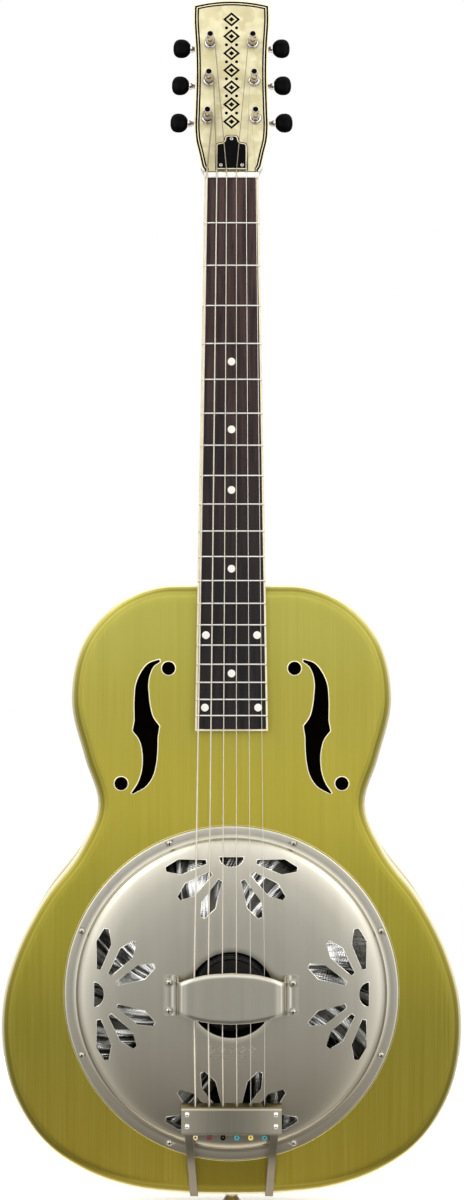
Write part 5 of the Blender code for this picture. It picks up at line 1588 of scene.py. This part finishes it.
def make_head_ornament():
    """A column of plain lozenges with pairs of dots between them."""
    outlines = []
    half_w, half_h = ORNAMENT_SIZE
    for k in range(ORNAMENT_COUNT):
        y = ORNAMENT_START + k * ORNAMENT_PITCH
        outer, hole, heart = [lozenge(half_w * size, half_h * size, (0, y)) for size in (1, 0.64, 0.34)]
        outlines += [[outer, hole], [heart]]
        if k + 1 < ORNAMENT_COUNT:
            outlines += [[circle(0.0013, 20, (x, y + ORNAMENT_PITCH / 2))] for x in (-0.0040, 0.0040)]
    shapes = [slab(outline, ORNAMENT_BOTTOM, ORNAMENT_TOP) for outline in outlines]
    piece("head_ornament", joined(shapes), HEAD_FRONT, "black", sharp=30)


def make_rod_cover():
    outline = mirrored(ROD_COVER_OUTLINE[:1] + smooth(ROD_COVER_OUTLINE[1:], 0.001))
    plies = {"black": [], "cream": []}
    for distance, low, high, colour in ROD_COVER_PLIES:
        plies[colour].append(slab([inset(outline, distance)], low, high))
    cover = joined(plies["black"])
    names = ["truss_rod_cover"]
    piece("rod_cover", cover, HEAD_FRONT, "black", replaces=names, sharp=30)
    piece("rod_cover_line", joined(plies["cream"]), HEAD_FRONT, "cream", sharp=30)
    top = ROD_COVER_PLIES[-1][2]
    places = [at(x, y, top, 0.4 + 90 * x) for x, y in ROD_COVER_SCREWS]
    screws = copies(screw_mesh(*ROD_COVER_SCREW), places)
    # The screw heads are a lighter nickel, as painted highlight.
    piece("rod_cover_screws", screws, HEAD_FRONT, "bright", sharp=30)


# ---------- tuners ----------


def post_ring(radius, height):
    return [(x, y, height) for x, y in circle(radius, POST_SIDES)]


def gear_ring(height):
    """Pointed teeth, with a gap facing the worm on local +Y."""
    corners = []
    for k, angle in enumerate(full_turn(2 * GEAR_TEETH)):
        radius = GEAR_ROOT_RADIUS if (k - GEAR_TEETH // 2) % 2 == 0 else GEAR_TIP_RADIUS
        corners.append(Vector((radius * cos(angle), radius * sin(angle))))
    ring = []
    for k, corner in enumerate(corners):
        following = corners[(k + 1) % len(corners)]
        for point in (corner, corner.lerp(following, 0.5)):
            ring.append((point.x, point.y, height))
    return ring


def post_mesh():
    """A string post with the gear near its lower end and a socket in its top coloured black as painted
    shade.
    """
    low = -SHAFT_DEPTH - GEAR_HALF_WIDTH
    high = -SHAFT_DEPTH + GEAR_HALF_WIDTH
    below = [(0.0018, -0.0274), (0.0021, -0.0271), (0.0024, low)]
    above = [(0.0026, high), *POST_PROFILE]
    above += [(SOCKET_RADIUS, POST_RISE), (SOCKET_RADIUS - 0.0001, POST_RISE - SOCKET_DEPTH)]
    rings = [post_ring(radius, height) for radius, height in below]
    rings += [gear_ring(low), gear_ring(high)]
    rings += [post_ring(radius, height) for radius, height in above]
    mesh = loft(rings)
    mesh.materials.append(looks["chrome"])
    # The socket is coloured black as painted shade.
    mesh.materials.append(looks["black"])
    socket_bottom = POST_RISE - SOCKET_DEPTH - 0.0001
    for face in mesh.polygons:
        centre = sum((mesh.vertices[i].co for i in face.vertices), Vector()) / len(face.vertices)
        inside = centre.xy.length < SOCKET_RADIUS - 0.00002
        face.material_index = int(centre.z > socket_bottom and inside)
    return mesh


def worm_ring(x):
    """Points round the worm, a right-handed thread with a crest facing the gear at x = 0."""
    ring = []
    for angle in full_turn(SHAFT_SIDES):
        turns = x / WORM_PITCH - (angle - pi) / (2 * pi)
        off_crest = abs(turns - round(turns))
        share = min(1, max(0, (WORM_ROOT_EDGE - off_crest) / (WORM_ROOT_EDGE - WORM_CREST_EDGE)))
        radius = blend(SHAFT_RADIUS, WORM_CREST_RADIUS, share)
        ring.append((x, radius * cos(angle), radius * sin(angle)))
    return ring


def shaft_mesh(side):
    """A key's shaft along local X, with the worm that drives the gear."""
    rows = round(2 * WORM_HALF_LENGTH / WORM_PITCH * WORM_ROWS_PER_TURN)
    inner_ends = (-0.0072, -WORM_HALF_LENGTH - 0.0002)
    inner = [ring_points(SHAFT_RADIUS, SHAFT_SIDES, side * x) for x in inner_ends]
    worm = [worm_ring(side * blend(-WORM_HALF_LENGTH, WORM_HALF_LENGTH, k / rows)) for k in range(rows + 1)]
    outer = [ring_points(radius, SHAFT_SIDES, side * x) for x, radius in SHAFT_PROFILE]
    return loft(inner + worm + outer)


def button_mesh(side):
    return loft([ring_points(half, 40, side * x, thick / half) for x, half, thick in BUTTON_SHAPE])


def make_tuner(index, side, place):
    """One machine head: its bushing, its post, and the worm shaft and button of its key."""
    axis = place @ Matrix.Translation((0, SHAFT_OFFSET, -SHAFT_DEPTH))
    nickel = "brushed_nickel"
    post = f"post_{index}"
    key = f"key_{index}"
    for name, mesh, spot, look, slot, body, replaced, sharp in (
        (f"bushing_{index}", turned(BUSHING_PROFILE, 40), place, "chrome", nickel, "guitar", "bushing", 45),
        (f"{post}_turned", post_mesh(), place, "chrome", nickel, post, "post", 40),
        (f"worm_shaft_{index}", shaft_mesh(side), axis, "chrome", nickel, key, "shaft", 40),
        (f"key_button_{index}", button_mesh(side), axis, "black", "black_plastic", key, "button", 50),
    ):
        piece(name, mesh, spot, look, body, [f"tuner_{replaced}_{index}"], sharp)


def make_tuners():
    number = {place: index for index, place in enumerate(POST_ORDER, start=1)}
    back = -VENEER - 2 * GAP - HEAD_THICKNESS - TUNER_PLATE_SHEET
    for side, side_name in ((-1, "left"), (1, "right")):
        frame = tuner_frame(side)
        for row in (-1, 0, 1):
            make_tuner(number[(side, row)], side, frame @ at(0, row * POST_SPACING))
        screws = []
        for y in TUNER_PLATE_SCREW_ROWS:
            screws.append(at(-side * TUNER_PLATE_SCREW_X, y, back, y * 50) @ Matrix.Rotation(pi, 4, "X"))
        heads = copies(screw_mesh(*TUNER_PLATE_SCREW), screws)
        # The screw heads are a lighter nickel, as painted highlight.
        piece(f"tuner_plate_screws_{side_name}", heads, frame, "bright", sharp=30)


# ---------- strings ----------


def saddle_height(x):
    slope = SADDLE_DISTANCE * sin(NECK_TILT) - board_rise
    return BOARD_ABOVE_BODY + slope + (STRING_RISE_AT_SADDLE + arch(x)) * cos(NECK_TILT) - GAP


def wound_turns(start, side, post, radius):
    """A string's turns round its post, in the frame of the head."""
    wrap = POST_RADIUS + GAP + radius
    reach = start.to_2d() - post
    facing = atan2(reach.y, reach.x)
    spread = pi / 2 - atan2(wrap, sqrt(reach.length_squared - wrap * wrap))
    first = facing + spread if side < 0 else facing - spread
    direction = 1 if side < 0 else -1
    climb = 2 * radius + GAP
    points = []
    for k in range(STRING_TURNS * TURN_POINTS + 1):
        angle = first + direction * 2 * pi * k / TURN_POINTS
        height = FIRST_TURN_RISE + radius + climb * k / TURN_POINTS
        points.append((post.x + wrap * cos(angle), post.y + wrap * sin(angle), height))
    return points


def make_strings():
    for number, (side, row) in enumerate(POST_ORDER):
        radius = STRING_RADII[number]
        tail_x = string_x(number, STRING_HALF_SPREAD_AT_TAIL, STRING_SHIFT_AT_TAIL)
        saddle_x = string_x(number, STRING_HALF_SPREAD_AT_SADDLE, STRING_SHIFT_AT_SADDLE)
        nut_x = string_x(number, STRING_HALF_SPREAD_AT_NUT)
        on_saddle = saddle_height(saddle_x) + GAP + radius
        over_nut = arch(nut_x) + STRING_RISE_AT_NUT + radius
        route = [
            BODY_FRONT @ Vector((tail_x, BALL_END[0] + BALL_RADIUS * 0.7, BALL_END[1])),
            BODY_FRONT @ Vector((tail_x, LIP_SLOT[0], LIP_SLOT[1])),
            CENTRE_FRONT @ Vector((saddle_x, 0, on_saddle)),
            NECK_FRONT @ Vector((nut_x, 0, over_nut)),
            NECK_FRONT @ Vector((nut_x, NUT_THICKNESS, over_nut)),
        ]
        start = HEAD_FRONT.inverted() @ route[-1]
        turns = wound_turns(start, side, post_in_head(side, row), radius)
        route += [HEAD_FRONT @ Vector(point) for point in turns]
        look = "wound" if number < WOUND_STRINGS else "plain"
        name = f"string_{number + 1}"
        wire = tube(route, radius, 14)
        piece(f"{name}_wire", wire, WORLD, look, replaces=[name], sharp=60)


# ---------- CAD nodes that stay ----------


def finish_cad_nodes():
    kept = {
        "resonator_well": "bare",
        "neck_stick": "neck",
        "truss_rod": "bare",
        "tuner_plate_left": "nickel_across",
        "tuner_plate_right": "nickel_across",
    }
    for name, look in kept.items():
        obj = frame["nodes"][name]
        obj.data.materials.clear()
        obj.data.materials.append(looks[look])
    for name in ("tuner_plate_left", "tuner_plate_right"):
        plate = frame["nodes"][name]
        plate.modifiers.new("joined", "WELD").merge_threshold = 0.000001
        edges = plate.modifiers.new("edges", "BEVEL")
        edges.width = 0.0002
        edges.segments = 2
        edges.angle_limit = radians(50)


# ---------- stage, lights and camera ----------


def make_stage():
    floor = placed("floor", slab([circle(FLOOR_RADIUS, 128, FLOOR_CENTRE)], -0.012, -0.0005))
    floor.data.materials.append(looks["floor"])


def add_light(name, place, target, size, power, colour=(1, 1, 1)):
    lamp = bpy.data.lights.new(name, "AREA")
    lamp.shape = "RECTANGLE"
    lamp.size, lamp.size_y = size
    lamp.energy = power
    lamp.color = colour
    obj = placed(name, lamp)
    obj.location = place
    obj.rotation_euler = (Vector(target) - Vector(place)).to_track_quat("-Z", "Y").to_euler()


def make_world():
    """White behind the object, and softer grey from below to above in what its metal reflects."""
    world = bpy.data.worlds.new("studio")
    world.use_nodes = True
    tree = world.node_tree
    background = tree.nodes["Background"]
    place = node(tree, "ShaderNodeTexCoord").outputs["Generated"]
    toward = node(tree, "ShaderNodeSeparateXYZ", {0: place}).outputs
    up = toward["Z"]
    ahead = maths(tree, "ABSOLUTE", toward["Y"])
    level = ease(tree, up, -0.42, 0.10, 0.04, 0.68)
    for brighter in (
        ease(tree, up, -0.45, -0.85, 0.0, 0.40),
        ease(tree, up, -0.01, 0.20, 0.0, 0.78),
        ease(tree, toward["X"], 0.17, 0.40, 0.0, 1.15),
        ease(tree, toward["X"], -0.18, -0.42, 0.0, 1.00),
    ):
        level = maths(tree, "ADD", level, brighter)
    level = maths(tree, "MULTIPLY", level, ease(tree, ahead, 0.50, 0.95, 0.36, 1.0))
    grey = node(tree, "ShaderNodeCombineColor", {0: level, 1: level, 2: level}).outputs[0]
    seen = node(tree, "ShaderNodeLightPath").outputs["Is Camera Ray"]
    tree.links.new(mix(tree, seen, grey, (1.0, 1.0, 1.0)), background.inputs["Color"])
    bpy.context.scene.world = world


def make_lights():
    middle = (0, 0, 0.45)
    add_light("key_left", (-1.7, -2.0, 2.3), middle, (2.4, 2.4), 24)
    add_light("key_right", (1.8, -1.9, 2.1), middle, (2.2, 2.2), 14)
    add_light("overhead", (0, 0.1, 2.6), middle, (2.6, 2.0), 16)
    add_light("rear", (0, 2.4, 1.6), middle, (2.4, 1.6), 26)


def make_camera():
    data = bpy.data.cameras.new("camera")
    data.lens = CAMERA_LENS
    data.shift_x, data.shift_y = CAMERA_SHIFT
    camera = placed("camera", data)
    camera.location = CAMERA_PLACE
    camera.rotation_euler = (pi / 2, 0, 0)
    bpy.context.scene.camera = camera


# ---------- assembly ----------

for leftover in list(bpy.data.objects):
    bpy.data.objects.remove(leftover)
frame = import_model()
bpy.context.scene.view_settings.view_transform = "Standard"
looks = make_materials()

make_stage()
make_world()
make_lights()
make_camera()
make_body()
make_cone()
make_biscuit()
make_saddle()
make_cover_plate()
make_petal_edges()
make_cover_seat_edge()
make_cover_screws()
make_cover_ornament()
make_palm_rest()
make_palm_rest_screws()
make_tail_plate()
make_tail_frame()
make_ball_ends()
make_end_button()
make_neck()
make_board()
make_frets()
make_board_binding()
make_position_dots()
make_nut()
make_head_face()
make_head_ornament()
make_rod_cover()
make_tuners()
make_strings()
finish_cad_nodes()
